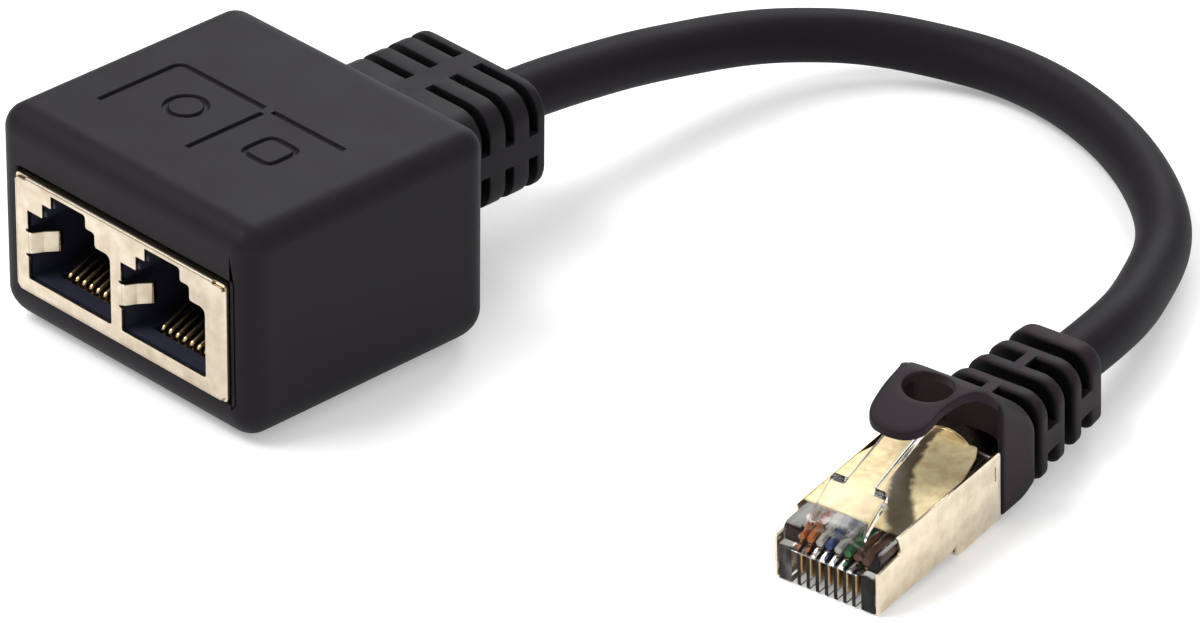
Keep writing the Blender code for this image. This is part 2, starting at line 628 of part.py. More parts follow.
def make_board_wires():
    """Eight conductors that fan out from the cable's end to two rows on the board."""
    start = CAVITY_REAR_Y - CABLE_INSIDE - GAP
    low = BOARD_TOP + GAP + WIRE_RADIUS
    for rank, i in enumerate(ring_order()):
        dx, dz = ring_place(i, WIRE_RING)
        x = (rank - (CONTACTS - 1) / 2) * WIRE_BOARD_PITCH
        z = RELIEF_CENTRE_Z + dz
        end = JACK_REAR_Y + (WIRE_ROWS[0] if dz > 0 else WIRE_ROWS[1])
        points = [(dx, start, z), (dx, start - WIRE_STRAIGHT, z), (x, end + 2 * WIRE_STRAIGHT, low + WIRE_STRAIGHT),
                  (x, end + WIRE_STRAIGHT, low), (x, end, low)]
        wire_object(f"board_wire_{rank + 1}", points, WIRE_RADIUS, WIRE_MATERIALS[rank])


def plug_point(u, v, w):
    """A point of the plug's frame, in the world."""
    return PLUG_FRAME @ Vector((u, v, w))


def make_cable():
    """The lead: straight in the strain relief and in the boot, one smooth bend between them."""
    leave = plug_point(PLUG_MID, BOOT_END_V, BOOT_EXIT_W)
    end = plug_point(PLUG_MID, CABLE_END_V, CABLE_AXIS_W)
    route = [tuple(value * MM for value in point) for point in CABLE_ROUTE] + [tuple(leave)]
    route[0] = (0, RELIEF_END_Y, RELIEF_CENTRE_Z)
    free_length = sum((Vector(b) - Vector(a)).length for a, b in zip(route, route[1:]))
    count = round(free_length / (2 * CABLE_DIAMETER)) + 1
    points = [(0, CAVITY_REAR_Y - CABLE_INSIDE, RELIEF_CENTRE_Z)]
    points += [tuple(p) for p in smooth_curve(route, count)]
    points.append(tuple(end))
    wire_object("cable", points, CABLE_RADIUS, BLACK_PVC, resolution=CABLE_SIDES)


def make_plug_shield():
    """The folded plug shield: two sides, top, rear wall, stepped rear bottom and crimp barrel."""
    v_end, top, step = PLUG_LENGTH, PLUG_HEIGHT, SHIELD_STEP
    side = [(0, 0), (SHIELD_STEP_V, 0), (SHIELD_STEP_V, -step), (v_end, -step), (v_end, top),
            (NOSE_LENGTH, top), (NOSE_LENGTH, NOSE_SIDE_HEIGHT), (0, NOSE_SIDE_HEIGHT)]
    mesh = flat_mesh("plug_shield", [side], 0, PLUG_WIDTH, ALONG_X)
    shield = link("plug_shield", mesh, PLATED_SHEET, PLUG_FRAME)
    t = PLUG_SHEET
    wide = (t, PLUG_WIDTH - t)
    front = box_mesh("shield_front_room", (wide[0], -t, -t), (wide[1], PLUG_TOP_FRONT, top + t))
    middle = box_mesh("shield_middle_room", (wide[0], -t, -step - t), (wide[1], SHIELD_STEP_V, top - t))
    rear = box_mesh("shield_rear_room", (wide[0], 0, t - step), (wide[1], v_end - t, top - t))
    for name, room in (("shield_front_room", front), ("shield_middle_room", middle),
                       ("shield_rear_room", rear)):
        boolean(shield, link(name, room, frame=PLUG_FRAME, cutter=True))
    outer = BORE_RADIUS + BARREL_WALL
    barrel = cylinder_mesh("crimp_barrel", outer, (PLUG_MID, v_end - t / 2, CABLE_AXIS_W),
                           (PLUG_MID, v_end + BARREL_LENGTH, CABLE_AXIS_W))
    boolean(shield, link("crimp_barrel", barrel, frame=PLUG_FRAME, cutter=True), "UNION")
    inner = cylinder_mesh("barrel_bore", BORE_RADIUS, (PLUG_MID, v_end, CABLE_AXIS_W),
                          (PLUG_MID, v_end + BARREL_LENGTH + t, CABLE_AXIS_W))
    boolean(shield, link("barrel_bore", inner, frame=PLUG_FRAME, cutter=True))
    window_width, window_low, window_high = REAR_WINDOW
    window = box_mesh("wire_window", (PLUG_MID - window_width / 2, v_end - 2 * t, window_low),
                      (PLUG_MID + window_width / 2, v_end + t, window_high))
    boolean(shield, link("wire_window", window, frame=PLUG_FRAME, cutter=True))


def make_plug_body():
    """The clear body: stepped nose with a dome, contact slots below and the wire channel inside."""
    t = PLUG_SHEET
    left, right = t + GAP, PLUG_WIDTH - t - GAP
    top = PLUG_HEIGHT - t - GAP
    mesh = box_mesh("plug_body", (left, 0, 0), (right, PLUG_LENGTH - t - GAP, top))
    body = link("plug_body", mesh, CLEAR_PLASTIC, PLUG_FRAME)
    nose_low = NOSE_SIDE_HEIGHT + GAP
    shoulders = box_mesh("nose_shoulders", (0, SHOULDER_FRONT, nose_low),
                         (PLUG_WIDTH, NOSE_LENGTH - GAP, PLUG_HEIGHT))
    dome = box_mesh("nose_dome", (PLUG_MID - DOME_WIDTH / 2, 0, DOME_BOTTOM),
                    (PLUG_MID + DOME_WIDTH / 2, NOSE_LENGTH - GAP, PLUG_HEIGHT))
    for name, lump in (("nose_shoulders", shoulders), ("nose_dome", dome)):
        piece = link(name, lump, frame=PLUG_FRAME, cutter=True)
        boolean(body, piece, "UNION")
    for sign in (-1, 1):
        side = "left" if sign < 0 else "right"
        inner = PLUG_MID + sign * DOME_WIDTH / 2
        outer = PLUG_MID + sign * PLUG_WIDTH
        name = f"{side}_nose_recess"
        recess = box_mesh(name, (min(inner, outer), -t, nose_low),
                          (max(inner, outer), SHOULDER_FRONT, PLUG_HEIGHT + t))
        boolean(body, link(name, recess, frame=PLUG_FRAME, cutter=True))
    for i in range(CONTACTS):
        u = PLUG_MID + (i - (CONTACTS - 1) / 2) * CONTACT_PITCH
        name = f"blade_slot_{i + 1}"
        slot = box_mesh(name, (u - SLOT_WIDTH / 2, -t, -t), (u + SLOT_WIDTH / 2, SLOT_LENGTH, SLOT_HEIGHT))
        boolean(body, link(name, slot, frame=PLUG_FRAME, cutter=True))
    channel = box_mesh("wire_channel", (PLUG_MID - CHANNEL_WIDTH / 2, CHANNEL_FRONT, CHANNEL_BOTTOM),
                       (PLUG_MID + CHANNEL_WIDTH / 2, THROAT_FRONT + t, CHANNEL_BOTTOM + CHANNEL_HEIGHT))
    throat = box_mesh("wire_throat", (PLUG_MID - THROAT_WIDTH / 2, THROAT_FRONT, THROAT_BOTTOM),
                      (PLUG_MID + THROAT_WIDTH / 2, PLUG_LENGTH, THROAT_TOP))
    for name, room in (("wire_channel", channel), ("wire_throat", throat)):
        boolean(body, link(name, room, frame=PLUG_FRAME, cutter=True))


def make_blades():
    """Eight flat contact blades standing in the plug's slots, each with two piercing points."""
    front, low = GAP + 0.4 * MM, BLADE_BOTTOM
    rear, high = front + BLADE_LENGTH, low + BLADE_HEIGHT
    third = BLADE_LENGTH / 3
    tooth = CHANNEL_BOTTOM - GAP - high
    outline = [(front, low), (rear, low), (rear, high), (front + 2.5 * third, high + tooth),
               (front + 2 * third, high), (front + third, high), (front + third / 2, high + tooth),
               (front, high)]
    for i in range(CONTACTS):
        u = PLUG_MID + (i - (CONTACTS - 1) / 2) * CONTACT_PITCH
        name = f"plug_blade_{i + 1}"
        mesh = flat_mesh(name, [outline], u - BLADE_THICKNESS / 2, BLADE_THICKNESS, ALONG_X)
        link(name, mesh, GOLD_CONTACT, PLUG_FRAME)


def make_plug_wires():
    """Eight conductors from the cable's end, spread sideways and then laid into one flat row."""
    row_w = CHANNEL_BOTTOM + CHANNEL_HEIGHT / 2
    start = CABLE_END_V - GAP
    for rank, i in enumerate(ring_order()):
        du, dw = ring_place(i, PLUG_WIRE_RING)
        u = PLUG_MID + (rank - (CONTACTS - 1) / 2) * CONTACT_PITCH
        w = CABLE_AXIS_W - PLUG_WIRE_DROP + dw
        points = [(PLUG_MID + du, start, w), (PLUG_MID + du, start - 2 * WIRE_STRAIGHT, w),
                  (u, THROAT_FRONT + 3 * WIRE_STRAIGHT, w), (u, THROAT_FRONT + WIRE_STRAIGHT, row_w),
                  (u, CHANNEL_FRONT + GAP, row_w)]
        wire_object(f"plug_wire_{rank + 1}", points, WIRE_RADIUS, WIRE_MATERIALS[rank], PLUG_FRAME)


def make_latch():
    """The latch: a broad ramp with two shoulders and the narrow tab that rises to the rear."""
    root = LATCH_ROOT_W
    shoulder_top = root + LATCH_SHOULDER_RISE
    thick, tab = LATCH_BROAD_THICKNESS, LATCH_TAB_THICKNESS
    ramp = [(LATCH_ROOT_V - thick / 2, root), (LATCH_ROOT_V + thick / 2, root),
            (LATCH_SHOULDER_V, shoulder_top - thick / 2), (LATCH_SHOULDER_V, shoulder_top + thick / 2),
            (LATCH_ROOT_V - thick / 2, root + thick * 0.7)]
    start = PLUG_MID - LATCH_BROAD_WIDTH / 2
    mesh = flat_mesh("plug_latch", [ramp], start, LATCH_BROAD_WIDTH, ALONG_X)
    latch = link("plug_latch", mesh, CLEAR_PLASTIC, PLUG_FRAME)
    join = LATCH_SHOULDER_V - thick
    end_w = root + LATCH_END_RISE
    arm = [(join, shoulder_top - thick * 0.9), (LATCH_END_V, end_w - tab / 2), (LATCH_END_V, end_w + tab / 2),
           (join, shoulder_top - thick * 0.9 + tab * 0.9)]
    name = "latch_tab"
    arm_mesh = flat_mesh(name, [arm], PLUG_MID - LATCH_TAB_WIDTH / 2, LATCH_TAB_WIDTH, ALONG_X)
    boolean(latch, link(name, arm_mesh, frame=PLUG_FRAME, cutter=True), "UNION")
    hinge = bpy.data.objects.new("latch_hinge", None)
    hinge.matrix_world = PLUG_FRAME @ Matrix.Translation((PLUG_MID, LATCH_ROOT_V, root))
    PARTS.objects.link(hinge)
    latch.parent = hinge
    latch.matrix_parent_inverse = hinge.matrix_world.inverted()


def tapered_box(name, near, far):
    """A box whose two ends differ: each end is (v, left, right, bottom, top)."""
    shape = bmesh.new()
    bmesh.ops.create_cube(shape, size=1.0)
    for vertex in shape.verts:
        v, left, right, bottom, top = near if vertex.co.y < 0 else far
        vertex.co = (left if vertex.co.x < 0 else right, v, bottom if vertex.co.z < 0 else top)
    mesh = bpy.data.meshes.new(name)
    shape.to_mesh(mesh)
    shape.free()
    return mesh


def make_boot():
    """The boot: hood over the plug's rear, snag tongue with its hole, and slotted bend relief."""
    profile = [(BOOT_FRONT_V, BOOT_BOTTOM), (BOOT_NECK_V, BOOT_BOTTOM), (BOOT_NECK_V, HOOD_REAR_TOP),
               (BOOT_FRONT_V + HOOD_CREST, HOOD_TOP), (BOOT_FRONT_V, HOOD_TOP)]
    hood = flat_mesh("plug_boot", [profile], 0, PLUG_WIDTH, ALONG_X)

    def weight(first, second):
        along = abs(first.x - second.x) < GAP
        return 1.0 if along and min(first.z, second.z) >= HOOD_REAR_TOP - GAP else 0.0

    weigh_edges(hood, weight)
    boot = link("plug_boot", hood, BLACK_PVC, PLUG_FRAME)
    bevel(boot, HOOD_EDGE, segments=4, weighted=True)

    near = (BOOT_NECK_V - HOOD_WALL / 2, PLUG_MID - BOOT_NECK_HALF, PLUG_MID + BOOT_NECK_HALF,
            BOOT_NECK_BOTTOM, BOOT_NECK_TOP)
    far = (BOOT_END_V, PLUG_MID - BOOT_END_HALF, PLUG_MID + BOOT_END_HALF, BOOT_END_BOTTOM,
           BOOT_END_TOP)
    neck = link("boot_neck", tapered_box("boot_neck", near, far), frame=PLUG_FRAME, cutter=True)
    bevel(neck, BOOT_EDGE, segments=3)
    boolean(boot, neck, "UNION")

    tip, half = TONGUE_TIP_V, TONGUE_TIP_HALF
    back = BOOT_FRONT_V + HOOD_WALL
    root_half = TONGUE_ROOT_HALF
    outline = [(PLUG_MID - root_half, back), (PLUG_MID - root_half, BOOT_FRONT_V),
               (PLUG_MID - half, tip + 1.6 * MM), (PLUG_MID - half * 0.5, tip + 0.3 * MM), (PLUG_MID, tip),
               (PLUG_MID + half * 0.5, tip + 0.3 * MM), (PLUG_MID + half, tip + 1.6 * MM),
               (PLUG_MID + root_half, BOOT_FRONT_V), (PLUG_MID + root_half, back)]
    hole = arc((PLUG_MID, TONGUE_HOLE_V), TONGUE_HOLE / 2, 0, 345, 23)
    plate = flat_mesh("snag_tongue", [outline, hole], HOOD_TOP - TONGUE_THICKNESS, TONGUE_THICKNESS,
                      ALONG_Z)
    boolean(boot, link("snag_tongue", plate, frame=PLUG_FRAME, cutter=True), "UNION")

    wall = HOOD_WALL
    room_top = CABLE_AXIS_W + BORE_RADIUS + BARREL_WALL + GAP
    room = box_mesh("hood_room", (wall, BOOT_FRONT_V - wall, BOOT_BOTTOM + wall),
                    (PLUG_WIDTH - wall, BOOT_NECK_V - wall, room_top))
    boolean(boot, link("hood_room", room, frame=PLUG_FRAME, cutter=True))
    fall = (BOOT_EXIT_W - CABLE_AXIS_W) / (BOOT_END_V - CABLE_END_V)
    bore_start, bore_end = BOOT_NECK_V - 2 * wall, BOOT_END_V + wall
    bore = cylinder_mesh("boot_bore", BORE_RADIUS,
                         (PLUG_MID, bore_start, CABLE_AXIS_W + fall * (bore_start - CABLE_END_V)),
                         (PLUG_MID, bore_end, CABLE_AXIS_W + fall * (bore_end - CABLE_END_V)))
    boolean(boot, link("boot_bore", bore, frame=PLUG_FRAME, cutter=True))
    cut_boot_grooves(boot)


def cut_boot_grooves(boot):
    """Four groove rings that follow the taper, with spines on top and bottom or at the sides in turn."""
    for i in range(RIB_GROOVES):
        start = BOOT_NECK_V + i * (RIB_GROOVE + RIB_WIDTH)
        share = (start + RIB_GROOVE / 2 - BOOT_NECK_V) / (BOOT_END_V - BOOT_NECK_V)
        half = BOOT_NECK_HALF + (BOOT_END_HALF - BOOT_NECK_HALF) * share
        top = BOOT_NECK_TOP + (BOOT_END_TOP - BOOT_NECK_TOP) * share
        bottom = BOOT_NECK_BOTTOM + (BOOT_END_BOTTOM - BOOT_NECK_BOTTOM) * share
        middle, half_height = (top + bottom) / 2, (top - bottom) / 2
        top_spine, side_spine = (BOOT_SPINE, 0) if i % 2 == 0 else (0, BOOT_SPINE)
        if top_spine:
            outlines = groove_halves(half, half_height, top_spine)
        else:
            outlines = [[(z, x) for x, z in loop] for loop in groove_halves(half_height, half, side_spine)]
        outlines = [[(PLUG_MID + x, z + middle) for x, z in loop] for loop in outlines]
        outlines = [[(-x, z) for x, z in loop] for loop in outlines]
        name = f"boot_groove_{i + 1}"
        cut = flat_mesh(name, outlines, start, RIB_GROOVE, ALONG_Y)
        boolean(boot, link(name, cut, frame=PLUG_FRAME, cutter=True))


def groove_halves(half_width, half_height, spine):
    """Two C-shaped outlines that leave a spine at the middle of the top and of the bottom."""
    depth = RIB_GROOVE_DEPTH
    floor_w, floor_h = half_width - depth, half_height - depth
    floor_edge = BOOT_EDGE - GAP
    out_w, out_h = half_width + depth, half_height + depth
    upper = arc((floor_w - floor_edge, floor_h - floor_edge), floor_edge, 90, 0, 3)
    lower = [(x, -z) for x, z in reversed(upper)]
    right = [(spine / 2, out_h), (spine / 2, floor_h), *upper, *lower, (spine / 2, -floor_h),
             (spine / 2, -out_h), (out_w, -out_h), (out_w, out_h)]
    return [right, [(-x, z) for x, z in right]]


make_housing()
make_jack_shield()
make_jack_body()
make_combs()
make_contacts()
make_board()
make_board_wires()
make_cable()
make_plug_shield()
make_plug_body()
make_blades()
make_plug_wires()
make_latch()
make_boot()
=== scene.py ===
"""A splitter adapter with two sockets, a short lead and a latched plug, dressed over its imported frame."""
import math

import bmesh
import bpy
import numpy as np
from mathutils import Matrix, Vector


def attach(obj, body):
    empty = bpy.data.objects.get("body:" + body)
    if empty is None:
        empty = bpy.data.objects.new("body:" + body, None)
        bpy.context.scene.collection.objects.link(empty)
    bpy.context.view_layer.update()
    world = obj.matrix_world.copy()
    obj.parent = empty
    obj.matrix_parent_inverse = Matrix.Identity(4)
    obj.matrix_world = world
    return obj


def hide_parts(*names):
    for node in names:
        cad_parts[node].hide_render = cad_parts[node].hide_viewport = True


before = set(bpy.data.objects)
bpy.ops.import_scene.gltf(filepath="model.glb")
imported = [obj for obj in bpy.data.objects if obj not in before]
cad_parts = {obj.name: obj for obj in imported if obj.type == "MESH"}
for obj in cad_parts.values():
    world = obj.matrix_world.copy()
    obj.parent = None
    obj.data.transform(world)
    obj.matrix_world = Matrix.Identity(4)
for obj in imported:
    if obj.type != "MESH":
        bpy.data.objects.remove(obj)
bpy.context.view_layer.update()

# Camera
# It stands where the photograph was taken from: to the right of the sockets, about 30 degrees
# up and 0.8 m away, with a long lens. The camera, the floor and the lamps are placed in metres;
# every other length in this file is in millimetres until a mesh is made.
MM = 0.001
stand_point = (0.51116, -0.46180, 0.40562)
azimuth, elevation, roll = math.radians(45.51), math.radians(30.59), math.radians(0.68)
camera_back = np.array([math.sin(azimuth) * math.cos(elevation),
                        -math.cos(azimuth) * math.cos(elevation), math.sin(elevation)])
level_right = np.array([math.cos(azimuth), math.sin(azimuth), 0.0])
level_up = np.cross(camera_back, level_right)
camera_right = math.cos(roll) * level_right + math.sin(roll) * level_up
camera_up = math.cos(roll) * level_up - math.sin(roll) * level_right
lens = bpy.data.cameras.new("long_lens")
lens.sensor_width = 36.0
lens.lens = 245.94
lens.clip_end = 10.0
camera = bpy.data.objects.new("camera", lens)
turn = Matrix(np.column_stack([camera_right, camera_up, camera_back]).tolist()).to_4x4()
camera.matrix_world = Matrix.Translation(stand_point) @ turn
bpy.context.scene.collection.objects.link(camera)
bpy.context.scene.camera = camera

# Lead
# A round shielded data cable, 5.6 mm over its soft black jacket. It is clamped in the block's
# strain relief, sinks to the table under its own weight, turns back and climbs into the boot.
plug_heading, plug_tilt = math.radians(9.7), math.atan2(0.93, 13.0)
plug_axes = np.array(Matrix.Rotation(plug_heading, 3, "Z") @ Matrix.Rotation(plug_tilt, 3, "X"))
plug_place = np.array(Vector((67.05, -2.5, 0.0)))


def from_plug(points):
    """Points (u, v, w) of the plug's own frame, moved to the row frame: place + u, v, w along its axes."""
    return np.asarray(points, float) @ plug_axes.T + plug_place


def smooth_route(points, count):
    """Points at even distances on the natural cubic spline through the given points."""
    knots = np.array(points, float)
    t = np.concatenate([[0.0], np.cumsum(np.linalg.norm(np.diff(knots, axis=0), axis=1))])
    n = len(knots)
    gaps = np.diff(t)
    system = np.eye(n)
    right = np.zeros((n, 3))
    inner = np.arange(1, n - 1)
    system[inner, inner - 1] = gaps[:-1]
    system[inner, inner] = 2 * (gaps[:-1] + gaps[1:])
    system[inner, inner + 1] = gaps[1:]
    slopes = np.diff(knots, axis=0) / gaps[:, None]
    right[1:-1] = 6 * np.diff(slopes, axis=0)
    bend = np.linalg.solve(system, right)
    fine = np.linspace(0, t[-1], 60 * n)
    span = np.clip(np.searchsorted(t, fine, side="right") - 1, 0, n - 2)
    width = gaps[span][:, None]
    a = (t[span + 1] - fine)[:, None]
    b = (fine - t[span])[:, None]
    curve = (bend[span] * a ** 3 + bend[span + 1] * b ** 3) / (6 * width)
    curve += (knots[span] / width - bend[span] * width / 6) * a
    curve += (knots[span + 1] / width - bend[span + 1] * width / 6) * b
    run = np.concatenate([[0.0], np.cumsum(np.linalg.norm(np.diff(curve, axis=0), axis=1))])
    wanted = np.linspace(0, run[-1], count)
    return np.stack([np.interp(wanted, run, curve[:, k]) for k in range(3)], axis=1)


def path_frames(path):
    """Two unit vectors across the path at each point, carried along it with the least turning."""
    ahead = np.gradient(path, axis=0)
    ahead /= np.linalg.norm(ahead, axis=1, keepdims=True)
    side = np.zeros_like(path)
    first = np.cross(ahead[0], (0.0, 0.0, 1.0))
    if np.linalg.norm(first) < 0.2:
        first = np.cross(ahead[0], (1.0, 0.0, 0.0))
    side[0] = first / np.linalg.norm(first)
    for i in range(1, len(path)):
        flat = side[i - 1] - ahead[i] * (side[i - 1] @ ahead[i])
        side[i] = flat / np.linalg.norm(flat)
    return side, np.cross(side, ahead)


def shade_smooth(mesh, sharp):
    """Smooth faces, with sharp edges where two of them meet at more than that many degrees."""
    mesh.polygons.foreach_set("use_smooth", np.ones(len(mesh.polygons), bool))
    mesh.set_sharp_from_angle(angle=math.radians(sharp))


def grid_mesh(points, loop=False, sharp=40.0):
    """A mesh from a grid of points (rows, columns, 3): every row is a ring, and quads join the rows.

    loop joins the last row to the first, and without it a flat face closes each end. A form whose
    volume comes out negative is turned round. UV holds the column and row shares, from 0 to 1."""
    points = np.asarray(points, float)
    rows, columns = points.shape[:2]
    flat = points.reshape(-1, 3) * MM
    r = np.arange(rows if loop else rows - 1)[:, None]
    c = np.arange(columns)[None, :]
    r_next, c_next = (r + 1) % rows, (c + 1) % columns
    quads = np.stack([r * columns + c, r * columns + c_next, r_next * columns + c_next,
                      r_next * columns + c], axis=-1).reshape(-1, 4)
    ends = [] if loop else [np.arange(columns)[::-1], np.arange((rows - 1) * columns, rows * columns)]
    centre = flat.mean(axis=0)
    corner = [flat[quads[:, k]] - centre for k in range(4)]
    volume = np.einsum("ij,ij->", corner[0], np.cross(corner[1], corner[2]))
    volume += np.einsum("ij,ij->", corner[0], np.cross(corner[2], corner[3]))
    for end in ends:
        fan = flat[end] - centre
        volume += np.einsum("j,ij->", fan[0], np.cross(fan[1:-1], fan[2:]))
    faces = quads.tolist() + [end.tolist() for end in ends]
    if volume < 0:
        faces = [face[::-1] for face in faces]
    mesh = bpy.data.meshes.new("grid")
    mesh.from_pydata(flat.tolist(), [], faces)
    share = np.stack([np.tile(np.arange(columns) / columns, rows),
                      np.repeat(np.arange(rows) / (rows - 1), columns)], axis=1)
    corners = np.empty(len(mesh.loops), int)
    mesh.loops.foreach_get("vertex_index", corners)
    mesh.uv_layers.new(name="UVMap").uv.foreach_set("vector", share[corners].ravel())
    shade_smooth(mesh, sharp)
    return mesh


def add_piece(name, mesh, finish, body="adapter", stands_for=()):
    """Show a mesh as a piece that rides on a body and stands for CAD nodes."""
    mesh.name = name
    mesh.materials.clear()
    mesh.materials.append(finish)
    piece = bpy.data.objects.new(name, mesh)
    bpy.context.scene.collection.objects.link(piece)
    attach(piece, body)
    if stands_for:
        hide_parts(*stands_for)
    return piece


def tube_grid(path, radius, around):
    """A circle of the given radius carried along the path: centre + radius (cos t side + sin t up)."""
    side, up = path_frames(path)
    t = np.linspace(0, 2 * np.pi, around, endpoint=False)[None, :, None]
    return path[:, None, :] + radius * (np.cos(t) * side[:, None, :] + np.sin(t) * up[:, None, :])


def feed(node, *in_order, **by_name):
    """Give a node's inputs, in order or by name with _ for a space, a value or another node's output."""
    for key, value in [*enumerate(in_order), *by_name.items()]:
        socket = node.inputs[key.replace("_", " ") if isinstance(key, str) else key]
        if isinstance(value, bpy.types.NodeSocket):
            node.id_data.links.new(value, socket)
        else:
            socket.default_value = value


def shader_of(finish):
    """The Principled shader of a material."""
    return finish.node_tree.nodes["Principled BSDF"]


def new_finish(name, colour, roughness, **sockets):
    """A material with one Principled shader, its sockets set by name."""
    made = bpy.data.materials.new(name)
    made.use_nodes = True
    feed(shader_of(made), Base_Color=(*colour, 1.0), Roughness=roughness, **sockets)
    return made


def add_node(finish, kind, *in_order, **settings):
    """One shader node in a material: its properties are set first, then its inputs are fed."""
    node = finish.node_tree.nodes.new("ShaderNode" + kind)
    for name in [name for name in settings if hasattr(node, name)]:
        setattr(node, name, settings.pop(name))
    feed(node, *in_order, **settings)
    return node


def own_place(finish):
    """The piece's Object coordinates, in metres."""
    return add_node(finish, "TexCoord").outputs["Object"]


def noise(finish, scale, detail, roughness=0.5, place=None):
    """Noise over the piece, or over another place given as an output: 1 / scale metres from hill to hill."""
    place = own_place(finish) if place is None else place
    node = add_node(finish, "TexNoise", Vector=place, Scale=scale, Detail=detail, Roughness=roughness)
    return node.outputs["Fac"]


def spread(finish, value, low, high, to_low=0.0, to_high=1.0, **settings):
    """A value taken from the range low to high to another range, and held at its ends."""
    return add_node(finish, "MapRange", value, low, high, to_low, to_high, **settings).outputs["Result"]


def add_bump(finish, height, distance, strength):
    """Bump from a height, its distance in mm, on top of the bump that is there already."""
    normal = shader_of(finish).inputs["Normal"]
    bump = add_node(finish, "Bump", Height=height, Distance=distance * MM, Strength=strength)
    if normal.is_linked:
        feed(bump, Normal=normal.links[0].from_socket)
    feed(shader_of(finish), Normal=bump.outputs["Normal"])


def colour_by(finish, share, second, first=None):
    """Base colour that goes from the first colour, or the finish's own so far, to the second by a share."""
    if first is None:
        under = shader_of(finish).inputs["Base Color"].links[0].from_socket
    else:
        under = (*first, 1.0)
    mix = add_node(finish, "Mix", data_type="RGBA", A=under, B=(*second, 1.0), Factor=share)
    feed(shader_of(finish), Base_Color=mix.outputs["Result"])


def moulded_grain(finish, grain_size, depth, mottle=0.25, roughness=(0.45, 0.62)):
    """Grain of a spark-eroded mould: fine noise as bump, and slow noise in colour and roughness."""
    add_bump(finish, noise(finish, 1.0 / grain_size, 3.0, 0.6), depth, 0.6)
    cloud = noise(finish, 0.05 / grain_size, 2.0)
    feed(shader_of(finish), Roughness=spread(finish, cloud, 0.0, 1.0, *roughness))
    base = shader_of(finish).inputs["Base Color"].default_value[:3]
    dark, light = ([v * share for v in base] for share in (1 - mottle, 1 + mottle))
    colour_by(finish, cloud, light, dark)


cable_radius, cable_axis_w, cable_end_v, boot_end_v = 2.8, 3.9, 20.9, 39.2
plug_width = 11.6
plug_middle = plug_width / 2


def cable_axis(v):
    """Height of the lead's middle in the plug frame: 3.9 mm at its end, 3.0 mm where it leaves the boot."""
    return cable_axis_w - 0.9 * (v - cable_end_v) / (boot_end_v - cable_end_v)


free_route = [(0, 24.2, 11.8), (-0.2, 30.8, 11.3), (-0.5, 39.0, 10.2), (-0.6, 45.2, 9.2),
              (-0.3, 51.5, 8.1), (0.2, 57.1, 7.1), (1.4, 62.4, 6.2), (3.3, 66.9, 5.4), (5.8, 71.1, 4.6),
              (9.0, 74.2, 4.0), (12.7, 76.8, 3.4), (17.1, 78.8, 3.0), (22.6, 79.6, 2.85),
              (28.8, 79.0, 2.85), (35.1, 77.3, 2.85), (42.0, 74.2, 2.85), (47.9, 70.4, 2.85),
              (51.4, 67.4, 2.85), (54.8, 63.3, 2.95), (58.4, 57.3, 3.5), (61.3, 51.9, 4.25),
              (63.45, 46.7, 5.0)]
boot_exit = from_plug([(plug_middle, boot_end_v, cable_axis(boot_end_v))])[0]
cable_end = from_plug([(plug_middle, cable_end_v, cable_axis_w)])[0]
free_path = smooth_route(free_route + [tuple(boot_exit)], 150)
inside_block = np.linspace((0.0, 3.9, 11.8), (0.0, 23.4, 11.8), 8)
inside_boot = np.linspace(boot_exit, cable_end, 10)[1:]
cable_path = np.concatenate([inside_block, free_path, inside_boot])
jacket = new_finish("cable_jacket", (0.011, 0.009, 0.012), 0.6, Specular_IOR_Level=0.08)
moulded_grain(jacket, 0.0006, 0.02, mottle=0.15, roughness=(0.5, 0.65))
cable = add_piece("lead_jacket", grid_mesh(tube_grid(cable_path, cable_radius, 40)), jacket,
                  stands_for=["cable"])

# Housing
# One soft black PVC moulding round the jack and its board, drawn in at the rear to a strain relief
# with cut rings and a spine on each side. It is carried along Y as one closed skin: cavity, front
# lip, outside, relief, bore and back to the cavity.
front_y, rear_y, relief_end_y = -23.5, 7.8, 24.2
block_half, block_height = 18.1, 23.3
edge_radius, foot_radius = 2.5, 3.5
cavity_left, cavity_right, cavity_floor, cavity_top, cavity_corner = -14.95, 15.75, 4.3, 17.7, 0.3
pit_floor, pit_front_y, cavity_rear_y = 2.3, -19.4, 5.4
relief_half, relief_middle, relief_low, relief_high, relief_radius = 9.45, -0.75, 6.0, 17.6, 3.0
ring_first_y, ring_pitch, ring_depth, spine_wide, spine_tall = 16.05, 3.2, 1.25, 1.4, 1.3
corner_points = 9


def side_shares(straight, spine):
    """Places along a straight side, from -1 to 1, and how deep a ring cuts there: 0 on the spine."""
    half = np.array([straight * 0.988, straight * 0.8, spine + 0.5, spine + 0.16, spine + 0.04, spine - 0.08,
                     spine * 0.5]) / straight
    cut = np.array([1, 1, 1, 1, 0.86, 0, 0], float)
    return (np.concatenate([-half, [0.0], half[::-1]]), np.concatenate([cut, [0.0], cut[::-1]]))


wide_shares, wide_cut = side_shares(relief_half - relief_radius, spine_wide)
tall_shares, tall_cut = side_shares((relief_high - relief_low) / 2 - relief_radius, spine_tall)
corner_turn = np.linspace(0, np.pi / 2, corner_points)
full_cut = np.ones(corner_points)
ring_cut = np.concatenate([wide_cut, full_cut, tall_cut, full_cut] * 2)


